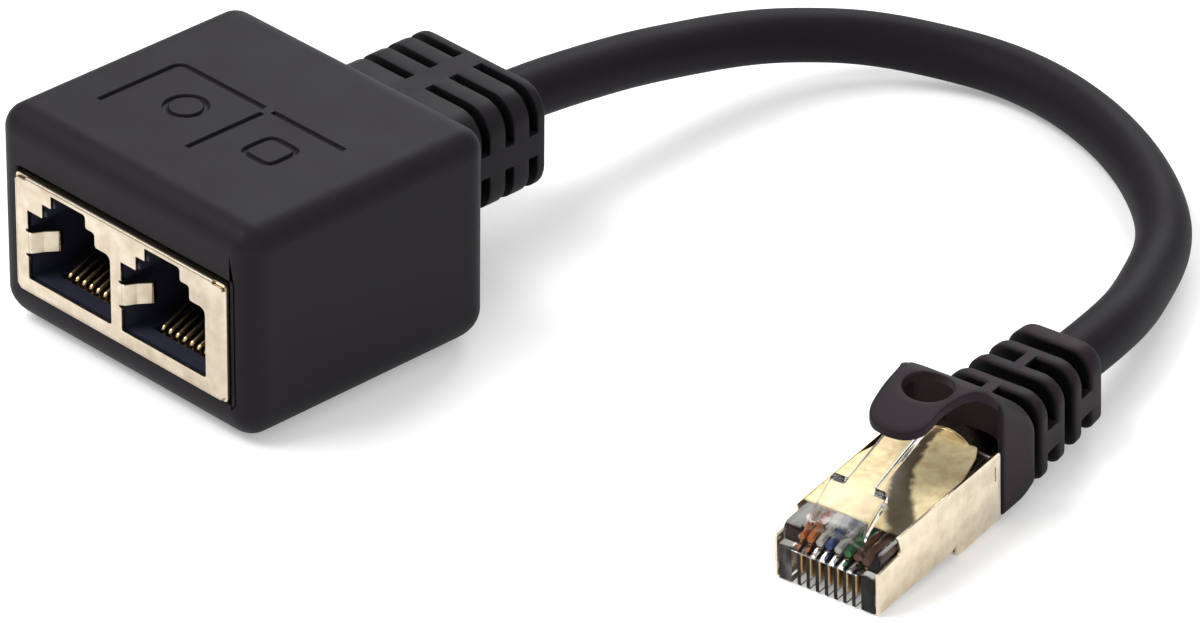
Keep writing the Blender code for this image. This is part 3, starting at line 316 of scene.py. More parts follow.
def four_sided_row(left, right, bottom, top, head, foot):
    """A rounded rectangle in X and Z: straight sides at the given shares, quarter circles between."""
    sides = []
    for start, end, shares in (((left + foot, bottom), (right - foot, bottom), wide_shares),
                               ((right, bottom + foot), (right, top - head), tall_shares),
                               ((right - head, top), (left + head, top), wide_shares),
                               ((left, top - head), (left, bottom + foot), tall_shares)):
        share = (shares[:, None] + 1) / 2
        sides.append(np.array(start) * (1 - share) + np.array(end) * share)
    centres = (((right - foot, bottom + foot), foot, -90), ((right - head, top - head), head, 0),
               ((left + head, top - head), head, 90), ((left + foot, bottom + foot), foot, 180))
    corners = []
    for centre, radius, start in centres:
        t = corner_turn + math.radians(start)
        corners.append(np.array(centre) + radius * np.stack([np.cos(t), np.sin(t)], axis=1))
    return np.concatenate([part for pair in zip(sides, corners) for part in pair])


def round_row(across, up, radius, count=len(ring_cut), start=-135):
    """A circle: by default with as many points as a four-sided row, its start turned to match."""
    t = np.linspace(0, 2 * np.pi, count, endpoint=False) + math.radians(start)
    return np.stack([across + radius * np.cos(t), up + radius * np.sin(t)], axis=1)


def as_grid(rows):
    """Rows of (place along, outline of (across, up)) as one grid of points (across, along, up)."""
    return np.array([np.insert(outline, 1, along, axis=1) for along, outline in rows])


def quarter_inset(depth, radius):
    """How far a quarter-round edge draws in at a depth below the face it ends in."""
    left_over = np.clip(radius - depth, 0, radius)
    return radius - math.sqrt(radius ** 2 - left_over ** 2)


def block_row(y):
    """Row of the block's outside at a place along Y, drawn in near both end faces."""
    depth = min(y - front_y, rear_y - y)
    side, foot = quarter_inset(depth, edge_radius), quarter_inset(depth, foot_radius)
    row = four_sided_row(-block_half + side, block_half - side, foot, block_height - side,
                         max(edge_radius - side, 0.02), max(foot_radius - max(side, foot), 0.02))
    return y, row


def face_row(y, grow):
    """Row on an end face, just inside the block's rounded edges."""
    side, foot = edge_radius + grow, foot_radius + grow
    return y, four_sided_row(-block_half + side, block_half - side, foot, block_height - side, 0.02, 0.02)


def cavity_row(y, grow=0.0, bottom=cavity_floor):
    """Row of the jack's rectangular cavity, grown by a little at its lip."""
    return y, four_sided_row(cavity_left - grow, cavity_right + grow, bottom - grow, cavity_top + grow,
                             cavity_corner + grow, cavity_corner + grow)


def relief_row(y, grow=0.0, cut=0.0):
    """Row of the strain relief; cut is how far the ring's floor is reached away from the spines."""
    left, right = relief_middle - relief_half, relief_middle + relief_half
    outer = four_sided_row(left - grow, right + grow, relief_low - grow, relief_high + grow,
                           relief_radius + grow, relief_radius + grow)
    inner = four_sided_row(left + ring_depth, right - ring_depth, relief_low + ring_depth,
                           relief_high - ring_depth, relief_radius - ring_depth, relief_radius - ring_depth)
    return y, outer + (inner - outer) * (cut * ring_cut)[:, None]


lip, lip_turn = 0.25, np.linspace(0, np.pi / 2, 5)
lip_grow = [(math.sin(t), 1 - math.sin(t), 1 - math.cos(t)) for t in lip_turn]
edge_depths = foot_radius * (1 - np.cos(np.linspace(0, np.pi / 2, 13)))
rows = [cavity_row(cavity_rear_y, 0.0, pit_floor), cavity_row(pit_front_y, 0.0, pit_floor),
        cavity_row(pit_front_y - 0.05)]
rows += [cavity_row(front_y + lip * depth, lip * grow) for _, depth, grow in lip_grow]
rows += [cavity_row(front_y, lip + 0.1), face_row(front_y, 0.1)]
rows += [block_row(front_y + d) for d in edge_depths]
rows += [block_row(front_y + foot_radius + 0.2), block_row((front_y + rear_y) / 2)]
rows += [block_row(rear_y - d) for d in [foot_radius + 0.2, *edge_depths[::-1]]]
rows += [face_row(rear_y, 0.1), relief_row(rear_y, 0.55)]
rows += [relief_row(rear_y + 0.45 * out, 0.45 * depth) for out, depth, _ in lip_grow]
half_ring = [(0.75, 0), (0.60, 0.03), (0.54, 0.14), (0.50, 0.95), (0.44, 1)]
grooved = {}
for i in range(3):
    for shift, cut in [(-away, cut) for away, cut in half_ring] + half_ring[::-1]:
        grooved[len(rows)] = cut * ring_cut
        rows.append(relief_row(ring_first_y + ring_pitch * i + shift, cut=cut))
rows += [relief_row(relief_end_y - 0.5 * depth, -0.5 * grow) for _, depth, grow in lip_grow]
rows += [relief_row(relief_end_y, -0.6)]
mouth_z = (relief_low + relief_high) / 2
bore = [(relief_end_y, 3.5), (relief_end_y, 3.25), (relief_end_y - 0.1, 2.95), (relief_end_y - 0.4, 2.85),
        (cavity_rear_y + 0.2, 2.85), (cavity_rear_y, 3.0)]
rows += [(y, round_row(0.0, mouth_z, radius)) for y, radius in bore]


def math_step(finish, operation, *inputs):
    """The result of one arithmetic node; each input is a number or another node's output."""
    return add_node(finish, "Math", *inputs, operation=operation).outputs[0]


def paint_groove_shade(mesh, finish, count, depths):
    """Painted shade in cut rings: the colour darkens by an attribute that holds how deep each point lies in
    one.

    depths gives that share of the full depth for each grooved row, out of count rows. It is taken
    five times and at most 1, and the colour falls towards black by 0.9 times that."""
    share = np.clip(5.0 * np.array([depths.get(i, 0.0 * ring_cut) for i in range(count)]), 0.0, 1.0)
    mesh.attributes.new("groove", "FLOAT", "POINT").data.foreach_set("value", share.ravel())
    deep = add_node(finish, "Attribute", attribute_name="groove").outputs["Fac"]
    colour_by(finish, math_step(finish, "MULTIPLY", deep, 0.9), (0.0, 0.0, 0.0))


block_black = new_finish("moulded_black", (0.014, 0.012, 0.015), 0.5, Specular_IOR_Level=0.1)
moulded_grain(block_black, 0.00022, 0.012)
housing_mesh = grid_mesh(as_grid(rows), loop=True)
# Painted shade darkens the strain relief's cut rings.
paint_groove_shade(housing_mesh, block_black, len(rows), grooved)
housing = add_piece("moulded_block", housing_mesh, block_black, stands_for=["housing"])


def cut_away(piece, cutter_mesh, sharp=40.0):
    """Take a closed mesh out of a piece for good, and mark its sharp edges again."""
    cutter = bpy.data.objects.new("cutter", cutter_mesh)
    bpy.context.scene.collection.objects.link(cutter)
    step = piece.modifiers.new("cut", "BOOLEAN")
    step.operation, step.solver, step.object = "DIFFERENCE", "EXACT", cutter
    graph = bpy.context.evaluated_depsgraph_get()
    result = bpy.data.meshes.new_from_object(piece.evaluated_get(graph))
    piece.modifiers.remove(step)
    finish = piece.data.materials[0]
    piece.data = result
    result.name = piece.name + "_cut"
    result.materials.clear()
    result.materials.append(finish)
    shade_smooth(result, sharp)
    bpy.data.objects.remove(cutter, do_unlink=True)


# Engraving on the top
# The mould leaves a thin frame line, a divider and two plain marks, 0.35 mm deep with soft lips.
# Each line is cut with one section, wider at its lips, carried along its middle.
def swept_bar(path, section, closed=False):
    """A bar along a flat path, as a grid: path + across times the path's normal, at the height up."""
    path, section = np.array(path, float), np.array(section)
    ahead = np.roll(path, -1, axis=0) - np.roll(path, 1, axis=0) if closed else np.gradient(path, axis=0)
    ahead /= np.linalg.norm(ahead, axis=1, keepdims=True)
    across = np.stack([-ahead[:, 1], ahead[:, 0]], axis=1)
    grid = np.empty((len(path), len(section), 3))
    grid[:, :, :2] = path[:, None, :] + across[:, None, :] * section[None, :, :1]
    grid[:, :, 2] = section[None, :, 1]
    return grid


line_half, line_low, line_top = 0.275, block_height - 0.35, block_height
right_lip = [(line_half - 0.08, line_low), (line_half, line_low + 0.06), (line_half, line_top - 0.10),
             (line_half + 0.10, line_top + 0.02), (line_half + 0.10, line_top + 0.3)]
left_lip = [(-x, z) for x, z in right_lip]
line_section = [left_lip[0], *right_lip, *left_lip[:0:-1]]
frame_front, frame_rear, frame_half, frame_bend = -15.8, -5.3, 11.7, 1.0
divider_x, divider_gap, mark_size, mark_away = 1.0, 0.55, 2.0, 6.0
bend_turn = np.linspace(np.pi, np.pi / 2, 7)
bend = np.stack([-frame_half + frame_bend + frame_bend * np.cos(bend_turn),
                 frame_rear - frame_bend + frame_bend * np.sin(bend_turn)], axis=1)
left_frame = [(-frame_half, frame_front), *bend.tolist(), (divider_x - divider_gap, frame_rear)]
right_frame = [(divider_x + divider_gap, frame_rear), (frame_half, frame_rear)]
divider = [(divider_x, frame_front), (divider_x, frame_rear - 0.85)]
mark_y = (frame_front + frame_rear) / 2
ring_mark = round_row(divider_x - mark_away, mark_y, mark_size, 40, 0)
circle = round_row(0.0, 0.0, 1.0, 40, 0)
power = (np.abs(circle) ** 5).sum(axis=1)
square_mark = circle * mark_size * power[:, None] ** -0.2 + (divider_x + mark_away, mark_y)
for path, closed in ((left_frame, False), (right_frame, False), (divider, False), (ring_mark, True),
                     (square_mark, True)):
    cut_away(housing, grid_mesh(swept_bar(path, line_section, closed), loop=closed))

# Jack can
# One can of thin gold-washed sheet round both sockets. Its front is stamped with the two stepped
# openings, its rims roll back into four walls, and a spring strip beside each opening is bent in
# to ground the plug. All of it is made of flat blanks and strips bent along an edge.
def rounded(points, radii, steps=4):
    """A closed outline with its corners turned into arcs: centre + radius (cos t, sin t) at each."""
    points = [np.array(point, float) for point in points]
    radii = np.broadcast_to(radii, len(points))
    outline = []
    for i, (corner, radius) in enumerate(zip(points, radii)):
        back, ahead = points[i - 1] - corner, points[(i + 1) % len(points)] - corner
        back, ahead = back / np.linalg.norm(back), ahead / np.linalg.norm(ahead)
        half_angle = math.acos(np.clip(back @ ahead, -1, 1)) / 2
        if radius <= 0 or half_angle > 1.55:
            outline.append(tuple(corner))
            continue
        middle = back + ahead
        centre = corner + middle / np.linalg.norm(middle) * radius / math.sin(half_angle)
        start = corner + back * radius / math.tan(half_angle)
        end = corner + ahead * radius / math.tan(half_angle)
        first = math.atan2(start[1] - centre[1], start[0] - centre[0])
        last = math.atan2(end[1] - centre[1], end[0] - centre[0])
        sweep = (last - first + math.pi) % (2 * math.pi) - math.pi
        for t in np.linspace(first, first + sweep, steps + 1):
            outline.append((centre[0] + radius * math.cos(t), centre[1] + radius * math.sin(t)))
    return outline


def rounded_box(left, right, low, high, radius, steps=4):
    """A closed rectangle with its corners turned into arcs."""
    return rounded([(left, low), (right, low), (right, high), (left, high)], radius, steps)


def sheet_mesh(outlines, thickness, edge, place):
    """A flat blank with rounded edges: a filled curve of closed outlines, holes included, as a mesh.

    place takes its points (across, along, thickness from the middle) to the row frame."""
    curve = bpy.data.curves.new("blank", "CURVE")
    curve.dimensions, curve.fill_mode = "2D", "BOTH"
    curve.extrude, curve.bevel_depth, curve.offset = thickness / 2 - edge, edge, -edge
    curve.bevel_resolution = 1
    for outline in outlines:
        spline = curve.splines.new("POLY")
        spline.points.add(len(outline) - 1)
        spline.points.foreach_set("co", np.array([(*point, 0, 1) for point in outline]).ravel())
        spline.use_cyclic_u = True
    blank = bpy.data.objects.new("blank", curve)
    shape = bmesh.new()
    shape.from_mesh(bpy.data.meshes.new_from_object(blank))
    bpy.data.objects.remove(blank)
    bmesh.ops.remove_doubles(shape, verts=shape.verts, dist=0.002)
    moved = np.asarray(place(np.array([vertex.co for vertex in shape.verts]))) * MM
    for vertex, point in zip(shape.verts, moved):
        vertex.co = point
    bmesh.ops.recalc_face_normals(shape, faces=shape.faces)
    mesh = bpy.data.meshes.new("sheet")
    shape.to_mesh(mesh)
    shape.free()
    shade_smooth(mesh, 35.0)
    return mesh


def joined(meshes):
    """One mesh out of several, each kept whole."""
    shape = bmesh.new()
    for mesh in meshes:
        shape.from_mesh(mesh)
    made = bpy.data.meshes.new("joined")
    shape.to_mesh(made)
    shape.free()
    return made


plate_front, plate_left, plate_right, plate_low, plate_high = -24.2, -14.65, 15.45, 4.6, 17.4
can_rear, sheet, fold, corner_cut, rim_cut, wall_corner = -7.7, 0.3, 0.34, 1.7, 0.6, 0.45
port_middles, port_half, port_low, port_high = (-6.75, 6.75), 6.0, 6.35, 13.9
step_half, notch_half, step_top, notch_top = 3.8, 2.5, 15.45, 16.85
spring_low, spring_high, spring_sheet, spring_gap, slit = 9.1, 11.5, 0.22, 0.06, 0.3


def as_front(points):
    """Points drawn on the jack's front (x, z, depth) to the row frame."""
    return np.insert(points[:, :2], 1, plate_front + sheet / 2 + points[:, 2], axis=1)


def port_shape(x):
    """Outline of one stepped opening: sharp corners on the left, soft ones on the right, spring slits."""
    left, right = x - port_half, x + port_half
    corners = [((left, port_low), 0.15), ((right, port_low), 0.3), ((right, port_high), 0.7),
               ((x + step_half, port_high), 0.3), ((x + step_half, step_top), 0.35),
               ((x + notch_half, step_top), 0.25), ((x + notch_half, notch_top), 0.35),
               ((x - notch_half, notch_top), 0.1), ((x - notch_half, step_top), 0.08),
               ((x - step_half, step_top), 0.1), ((x - step_half, port_high), 0.08),
               ((left, port_high), 0.1), ((left, spring_high + slit), 0),
               ((left - slit, spring_high + slit), 0.1),
               ((left - slit, spring_high), 0.1), ((left + 0.1, spring_high), 0),
               ((left + 0.1, spring_low), 0), ((left - slit, spring_low), 0.1),
               ((left - slit, spring_low - slit), 0.1),
               ((left, spring_low - slit), 0)]
    return rounded(*zip(*corners))


def quarter_bend(corner, start, end, inward, along):
    """The rolled rim at one side of the plate: a quarter ring from front to wall, along one edge."""
    t = np.linspace(0, np.pi / 2, 6)
    inside = fold - sheet
    outer = np.stack([fold * np.sin(t), fold * (1 - np.cos(t))], axis=1)
    inner = np.stack([inside * np.sin(t), fold - inside * np.cos(t)], axis=1)
    ring = np.concatenate([outer, inner[::-1]])
    grid = np.zeros((2, len(ring), 3))
    grid[:, :, inward[0]] = corner - inward[1] * fold + inward[1] * ring[None, :, 0]
    grid[:, :, 1] = plate_front + ring[None, :, 1]
    grid[:, :, along] = np.array([[start], [end]])
    return grid_mesh(grid)


def washed_sheet(finish, patch, shade, roughness, tilt=0.0):
    """Rolled sheet with a thin gold wash: patches in colour and gloss, and fine marks drawn along Z.

    patch is the patches' size in mm and shade how far they darken. The marks are noise (x / 0.12,
    y / 0.12, z / 2.5), in mm. tilt adds slow waves, in mm, as bump."""
    patches = noise(finish, 1.0 / (patch * MM), 4.0, 0.55)
    mark_scale = tuple(1.0 / (size * MM) for size in (0.12, 0.12, 2.5))
    stretch = add_node(finish, "Mapping", Vector=own_place(finish), Scale=mark_scale)
    base = shader_of(finish).inputs["Base Color"].default_value[:3]
    dull = [v * (1 - shade * (1 + 0.25 * k)) for k, v in enumerate(base)]
    bright = [min(v * (1 + 0.35 * shade), 1.0) for v in base]
    colour_by(finish, spread(finish, patches, 0.3, 0.62), bright, dull)
    glossy, matt = roughness
    feed(shader_of(finish), Roughness=spread(finish, patches, 0.0, 1.0, matt, glossy))
    if tilt:
        add_bump(finish, patches, tilt, 1.0)
    add_bump(finish, noise(finish, 1.0, 2.0, place=stretch.outputs["Vector"]), 0.0015, 0.7)


plated = new_finish("plated_sheet", (0.63, 0.55, 0.435), 0.24, Metallic=1.0)
washed_sheet(plated, 2.2, 0.18, (0.18, 0.32))
face_outline = rounded_box(plate_left + fold, plate_right - fold, plate_low + fold, plate_high - fold, 0.25)
parts = [sheet_mesh([face_outline, *[port_shape(x) for x in port_middles]], sheet, 0.04, as_front),
         quarter_bend(plate_high, plate_left + corner_cut, plate_right - corner_cut, (2, 1), 0),
         quarter_bend(plate_low, plate_left + rim_cut, plate_right - rim_cut, (2, -1), 0),
         quarter_bend(plate_left, plate_low + rim_cut, plate_high - rim_cut, (0, -1), 2),
         quarter_bend(plate_right, plate_low + rim_cut, plate_high - rim_cut, (0, 1), 2)]
wall_rows = [(y, four_sided_row(plate_left + inset, plate_right - inset, plate_low + inset,
                                plate_high - inset, wall_corner - inset, wall_corner - inset))
             for y, inset in ((plate_front + fold, 0.0), (can_rear, 0.0), (can_rear, sheet),
                              (plate_front + fold, sheet))]
parts.append(grid_mesh(as_grid(wall_rows), loop=True))
spring_section = rounded_box(-spring_sheet / 2, spring_sheet / 2, spring_low + spring_gap,
                             spring_high - spring_gap, 0.05, 1)
for x in port_middles:
    left = x - port_half
    path = rounded([(left - 0.1, -24.05), (left + 0.3, -24.05), (left + 0.85, -22.95), (left + 1.8, -21.7),
                    (left + 1.6, -21.2)], [0, 0.2, 0.5, 0.3, 0], 5)
    parts.append(grid_mesh(swept_bar(path, spring_section)))
add_piece("jack_can", joined(parts), plated, stands_for=["jack_shield"])

# Socket contacts
# Eight spring wires in each socket, drawn round phosphor bronze with a gold wash. Each comes up
# through the floor behind the front lip, turns back on itself and slants up to the rear comb.
contact_wash = new_finish("contact_wash", (0.95, 0.72, 0.36), 0.22, Metallic=1.0)
# Painted shade: the wires go from bright gold at their front bends to nearly black towards the rear, where
# the socket lies in shade.
back = add_node(contact_wash, "SeparateXYZ", own_place(contact_wash)).outputs["Y"]
colour_by(contact_wash, spread(contact_wash, back, -20.6 * MM, -17.5 * MM), (0.10, 0.07, 0.035),
          (1.0, 0.78, 0.42))
contact_pitch, contact_radius = 1.02, 0.22
bend_y, bend_z, bend_radius = plate_front + 3.52, 6.17, 0.42
turn_round = np.radians(np.linspace(270, 112, 9))
turned = np.column_stack([bend_y + bend_radius * np.cos(turn_round),
                          bend_z + bend_radius * np.sin(turn_round)])
contact_line = np.array([(plate_front + 13.6, 4.6), (plate_front + 13.6, 5.3), (plate_front + 13.4, 5.68),
                         (plate_front + 13.0, 5.75), *turned, (plate_front + 7.0, 8.0),
                         (plate_front + 10.7, 9.1)])


def eight_across(middle):
    """Places of eight contacts side by side, one pitch apart, about a middle."""
    return [middle + (i - 3.5) * contact_pitch for i in range(8)]


for side, x in zip(("left", "right"), port_middles):
    wires = [grid_mesh(tube_grid(np.column_stack([np.full(len(contact_line), at), contact_line]),
                                 contact_radius, 10)) for at in eight_across(x)]
    add_piece(f"{side}_contacts", joined(wires), contact_wash,
              stands_for=[f"{side}_contact_{i}" for i in range(1, 9)])

# Plug shield
# The plug's shell is folded from the same sheet: two sides that stand a little above the top
# plate, a stepped underside at the rear, and a rear wall with the crimped sleeve of the lead.
def blank_at(axis, at):
    """Place for a blank drawn in the plug's two other axes, its middle at a distance along this one."""
    index = "uvw".index(axis)
    return lambda points: from_plug(np.insert(points[:, :2], index, at + points[:, 2], axis=1))


def plug_row(v, half, bottom, top, head, foot):
    """Row at v in the plug's frame: a rounded rectangle about the plug's middle."""
    return v, four_sided_row(plug_middle - half, plug_middle + half, bottom, top, head, foot)


plug_rear, plug_step, step_front, step_edge = 20.1, 0.92, 12.0, 12.8
wall_top, plate_w, plate_front_v = 6.75, 6.05, 4.5
side_outline = rounded([(0, 0), (step_front, 0), (step_edge, 0.4), (step_edge, -plug_step),
                        (plug_rear, -plug_step), (plug_rear, wall_top), (3.3, wall_top), (3.8, 4.8),
                        (0, 4.5)],
                       [0.15, 0.4, 0.15, 0.15, 0.1, 0.5, 0.2, 0.35, 0.2])
low_outline = [(v, min(w, plate_w + 0.2)) for v, w in side_outline]
slot_v, slot_width, slot_low, slot_high = 19.2, 0.14, 3.8, 5.4
side_slot = rounded_box(slot_v, slot_v + slot_width, slot_low, slot_high, 0)
inner_right, rear_top = plug_width - sheet, wall_top - 0.8
rear_outline = rounded_box(sheet, inner_right, -plug_step + sheet, rear_top, 0.2)
floor_outline = rounded_box(sheet, inner_right, step_edge, plug_rear, 0.1)
sleeve_rows = [(plug_rear - 0.2, 3.4), (23.7, 3.4), (23.7, 3.1), (plug_rear - 0.2, 3.1)]
sleeve = as_grid([(v, round_row(plug_middle, cable_axis_w, radius, 32, 0)) for v, radius in sleeve_rows])
sleeve_hole = round_row(plug_middle, cable_axis_w, 3.12, 32, 0)
parts = [sheet_mesh([low_outline], sheet, 0.06, blank_at("u", sheet / 2)),
         sheet_mesh([side_outline, side_slot], sheet, 0.06, blank_at("u", plug_width - sheet / 2)),
         sheet_mesh([rear_outline, sleeve_hole], sheet, 0.04, blank_at("v", plug_rear - sheet / 2)),
         sheet_mesh([floor_outline], sheet, 0.06, blank_at("w", -plug_step + sheet / 2)),
         grid_mesh(from_plug(sleeve), loop=True)]
shell_wash = new_finish("shell_wash", (0.74, 0.65, 0.50), 0.22, Metallic=1.0)
washed_sheet(shell_wash, 1.8, 0.14, (0.18, 0.34), tilt=0.02)
shell = add_piece("plug_shell", joined(parts), shell_wash, stands_for=["plug_shield"])

# Top plate
# A tapered blank of the same sheet under the latch, washed more richly. A painted dark brown band,
# which stands for the boot's tongue mirrored in the plate, runs beside the latch and bends out to the
# front corner: its middle lies at u = 4.45 + 0.034 (19 - v) squared, and slow noise frays its edges.
plate_gold = new_finish("top_plate_gold", (1.0, 0.80, 0.47), 0.5, Metallic=0.25)
washed_sheet(plate_gold, 1.1, 0.22, (0.42, 0.62), tilt=0.04)
places = []
for axis in plug_axes.T[:2]:
    along_axis = add_node(plate_gold, "VectorMath", own_place(plate_gold), axis / MM, operation="DOT_PRODUCT")
    places.append(math_step(plate_gold, "SUBTRACT", along_axis.outputs["Value"], float(axis @ plug_place)))
fray = noise(plate_gold, 1.0 / (1.4 * MM), 4.0)
ahead_of = math_step(plate_gold, "MAXIMUM", math_step(plate_gold, "SUBTRACT", 19.0, places[1]), 0.0)
squared = math_step(plate_gold, "POWER", ahead_of, 2.0)
middle_line = math_step(plate_gold, "MULTIPLY_ADD", squared, 0.034, 4.45)
wander = math_step(plate_gold, "MULTIPLY_ADD", fray, 1.6, -0.8)
offset = math_step(plate_gold, "SUBTRACT", math_step(plate_gold, "ADD", places[0], wander), middle_line)
half_band = math_step(plate_gold, "MULTIPLY_ADD", ahead_of, 0.11, 0.5)
far = math_step(plate_gold, "DIVIDE", math_step(plate_gold, "ABSOLUTE", offset), half_band)
# Painted reflection: the share of the dark band where the boot's tongue is mirrored in the plate.
painted_tongue_reflection = spread(plate_gold, far, 0.6, 1.25, 0.93, 0.0, interpolation_type="SMOOTHSTEP")
colour_by(plate_gold, painted_tongue_reflection, (0.045, 0.03, 0.018))
taper = [(sheet, 13.2), (1.1, 16.25), (1.8, 18.7), (2.6, plug_rear)]
top_outline = rounded([(sheet, plate_front_v), (inner_right, plate_front_v),
                       *[(plug_width - u, v) for u, v in taper], *taper[::-1]],
                      [0.1, 0.1, 0.5, 0.5, 0.5, 0.2, 0.2, 0.5, 0.5, 0.5])
top_plate = add_piece("plug_top_plate", sheet_mesh([top_outline], 0.25, 0.06, blank_at("w", plate_w)),
                      plate_gold)

# Plug body
# Clear polycarbonate, moulded in one shot: a comb of eight blade slots, a domed nose, set-back
# shoulders and a channel for the wires. Its rows are (u, w) outlines carried along v.
clear = new_finish("clear_plastic", (1.0, 1.0, 1.0), 0.06, IOR=1.5, Transmission_Weight=1.0,
                   Specular_Tint=(0.2, 0.2, 0.2, 1.0))
flow = noise(clear, 1.0 / (2.5 * MM), 2.0)
add_bump(clear, flow, 0.03, 1.0)
colour_by(clear, flow, (0.97, 0.96, 0.94), (0.88, 0.86, 0.83))
hazy = clear.copy()
hazy.name = "hazy_clear_plastic"
feed(shader_of(hazy), Roughness=0.14)
slot_half, slot_top, slot_end = 0.31, 3.7, 6.2
body_left, body_right, body_rear = 0.42, 11.18, 19.4
dome_left, dome_right = 2.5, 9.1


def comb_side(depth):
    """Points along the body's underside from left to right, up into each slot and down again."""
    points = [(body_left, 0.0)]
    for u in eight_across(plug_middle):
        points += [(u - slot_half, 0.0), (u - slot_half, depth), (u + slot_half, depth), (u + slot_half, 0.0)]
    return points + [(body_right, 0.0)]


def body_row(v, shoulder, dome, depth=slot_top, draw_in=0.0):
    """The body's outline at v: comb below, shoulders at the sides and the dome between them."""
    edge, bevel, step = 0.3, 0.09, 0.25
    left, right = body_left + draw_in, body_right - draw_in
    top = [(right, shoulder - edge), (right - bevel, shoulder - bevel), (right - edge, shoulder)]
    top += [(dome_right + step, shoulder)]
    top += [(dome_right - t * (dome_right - dome_left), dome - 0.35 * (2 * t - 1) ** 4)
            for t in np.linspace(0, 1, 7)]
    top += [(dome_left - step, shoulder)]
    top += [(left + edge, shoulder), (left + bevel, shoulder - bevel), (left, shoulder - edge)]
    return v, np.array([(np.clip(u, left, right), w) for u, w in comb_side(depth) + top])


nose_rows = [(0.0, 3.75, 3.9, 0.1), (0.06, 3.85, 4.05, 0.03), (0.25, 3.9, 4.3, 0.0), (0.6, 3.9, 4.95, 0.0),
             (0.88, 3.92, 5.35, 0.0), (0.95, 5.2, 5.45, 0.0), (1.1, 5.6, 5.65, 0.0), (1.4, 5.78, 5.95, 0.0),
             (2.0, 5.82, 6.25, 0.0), (3.0, 5.82, 6.35, 0.0), (4.1, 5.82, 6.35, 0.0), (4.3, 5.8, 5.85, 0.0)]
rear_rows = [(slot_end - 0.05, slot_top), (slot_end, slot_top - 0.05), (slot_end + 0.02, 0.02),
             (slot_end + 0.1, 0.0), (9.0, 0.0), (body_rear - 0.1, 0.0), (body_rear, 0.0)]
rows = [body_row(v, shoulder, dome, draw_in=drawn) for v, shoulder, dome, drawn in nose_rows]
rows += [body_row(v, 5.8, 5.85, depth) for v, depth in rear_rows]
body = add_piece("plug_clear_body", grid_mesh(from_plug(as_grid(rows)), sharp=28.0), hazy,
                 stands_for=["plug_body"])

# The wire channel is a flat room in the body, open towards the lead; it is cut out for good. In the
# nose the wires fill their holes, so there the plastic closes round them.
channel_rows = [(6.6, 4.2, 3.82, 4.93), (12.5, 4.2, 3.82, 4.93), (14.0, 4.3, 1.3, 5.4), (20.5, 4.3, 1.2, 5.5)]
rows = [plug_row(v, half, low, high, 0.2, 0.2) for v, half, low, high in channel_rows]
cut_away(body, grid_mesh(from_plug(as_grid(rows))), 28.0)

# Latch
# The spring tongue of the same clear moulding: it stands up from the nose, widens to two shoulders
# that catch in the socket, and runs back as a narrow bar to be pressed under the boot's tongue.
def latch_height(v):
    """Height of the latch's middle over v: a curled root, then a nearly straight rise."""
    return np.interp(v, [1.75, 1.9, 2.2, 2.7, 5.7, 14.8], [5.9, 6.35, 6.75, 7.1, 8.85, 11.15])


latch_rows = [(1.75, 3.1, 1.0), (1.9, 3.1, 1.0), (2.2, 3.1, 1.05), (2.7, 3.1, 1.1), (4.0, 3.1, 1.15),
              (5.3, 3.1, 1.2), (5.62, 3.08, 1.2), (5.7, 3.0, 1.15), (5.72, 1.7, 1.1), (5.8, 1.62, 1.05),
              (8.0, 1.62, 1.0), (11.0, 1.62, 1.0), (14.4, 1.62, 0.95), (14.7, 1.5, 0.9), (14.8, 1.3, 0.8)]
rows = []
for v, half, thick in latch_rows:
    middle = float(latch_height(v))
    rows.append(plug_row(v, half, middle - thick / 2, middle + thick / 2, 0.32, 0.18))
latch = add_piece("latch_tongue", grid_mesh(from_plug(as_grid(rows)), sharp=30.0), clear,
                  body="latch", stands_for=["plug_latch"])

# Plug blades and conductors
# Eight gold-washed blades are pressed down into the wires through the slots. The wires are soft
# insulated copper in four colours, each paired with white.
contact_gold = new_finish("contact_gold", (0.62, 0.43, 0.22), 0.3, Metallic=1.0)
washed_sheet(contact_gold, 0.8, 0.35, (0.25, 0.42))
blade_top, blade_low, blade_front, blade_end, tooth = 3.3, 0.72, 0.7, 5.3, 0.45
blade_outline = rounded([(blade_front, blade_low), (blade_end, blade_low), (blade_end, blade_top),
                         (blade_end - 0.7, blade_top), (blade_end - 1.0, blade_top + tooth),
                         (blade_end - 1.3, blade_top), (blade_front + 1.3, blade_top),
                         (blade_front + 1.0, blade_top + tooth), (blade_front + 0.7, blade_top),
                         (blade_front, blade_top)], [0.3, 0.3, 0.1, 0, 0, 0, 0, 0, 0, 0.1])
parts = [sheet_mesh([blade_outline], 0.3, 0.04, blank_at("u", u)) for u in eight_across(plug_middle)]
blades = add_piece("plug_blades", joined(parts), contact_gold,
                   stands_for=[f"plug_blade_{i}" for i in range(1, 9)])


def wire_insulation(name, colour, band=None):
    """Extruded insulation: slight mottling and, for the white of a pair, bands of its colour round it."""
    finish = new_finish(name, colour, 0.4)
    moulded_grain(finish, 0.0003, 0.006, mottle=0.15, roughness=(0.32, 0.5))
    if band:
        rings = add_node(finish, "TexWave", Vector=own_place(finish), Scale=1.0 / (9.0 * MM), Distortion=0.5)
        colour_by(finish, spread(finish, rings.outputs["Fac"], 0.62, 0.7), band)
    return finish


def refinish(finish, *nodes):
    """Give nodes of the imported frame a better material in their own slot."""
    for node in nodes:
        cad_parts[node].data.materials[0] = finish


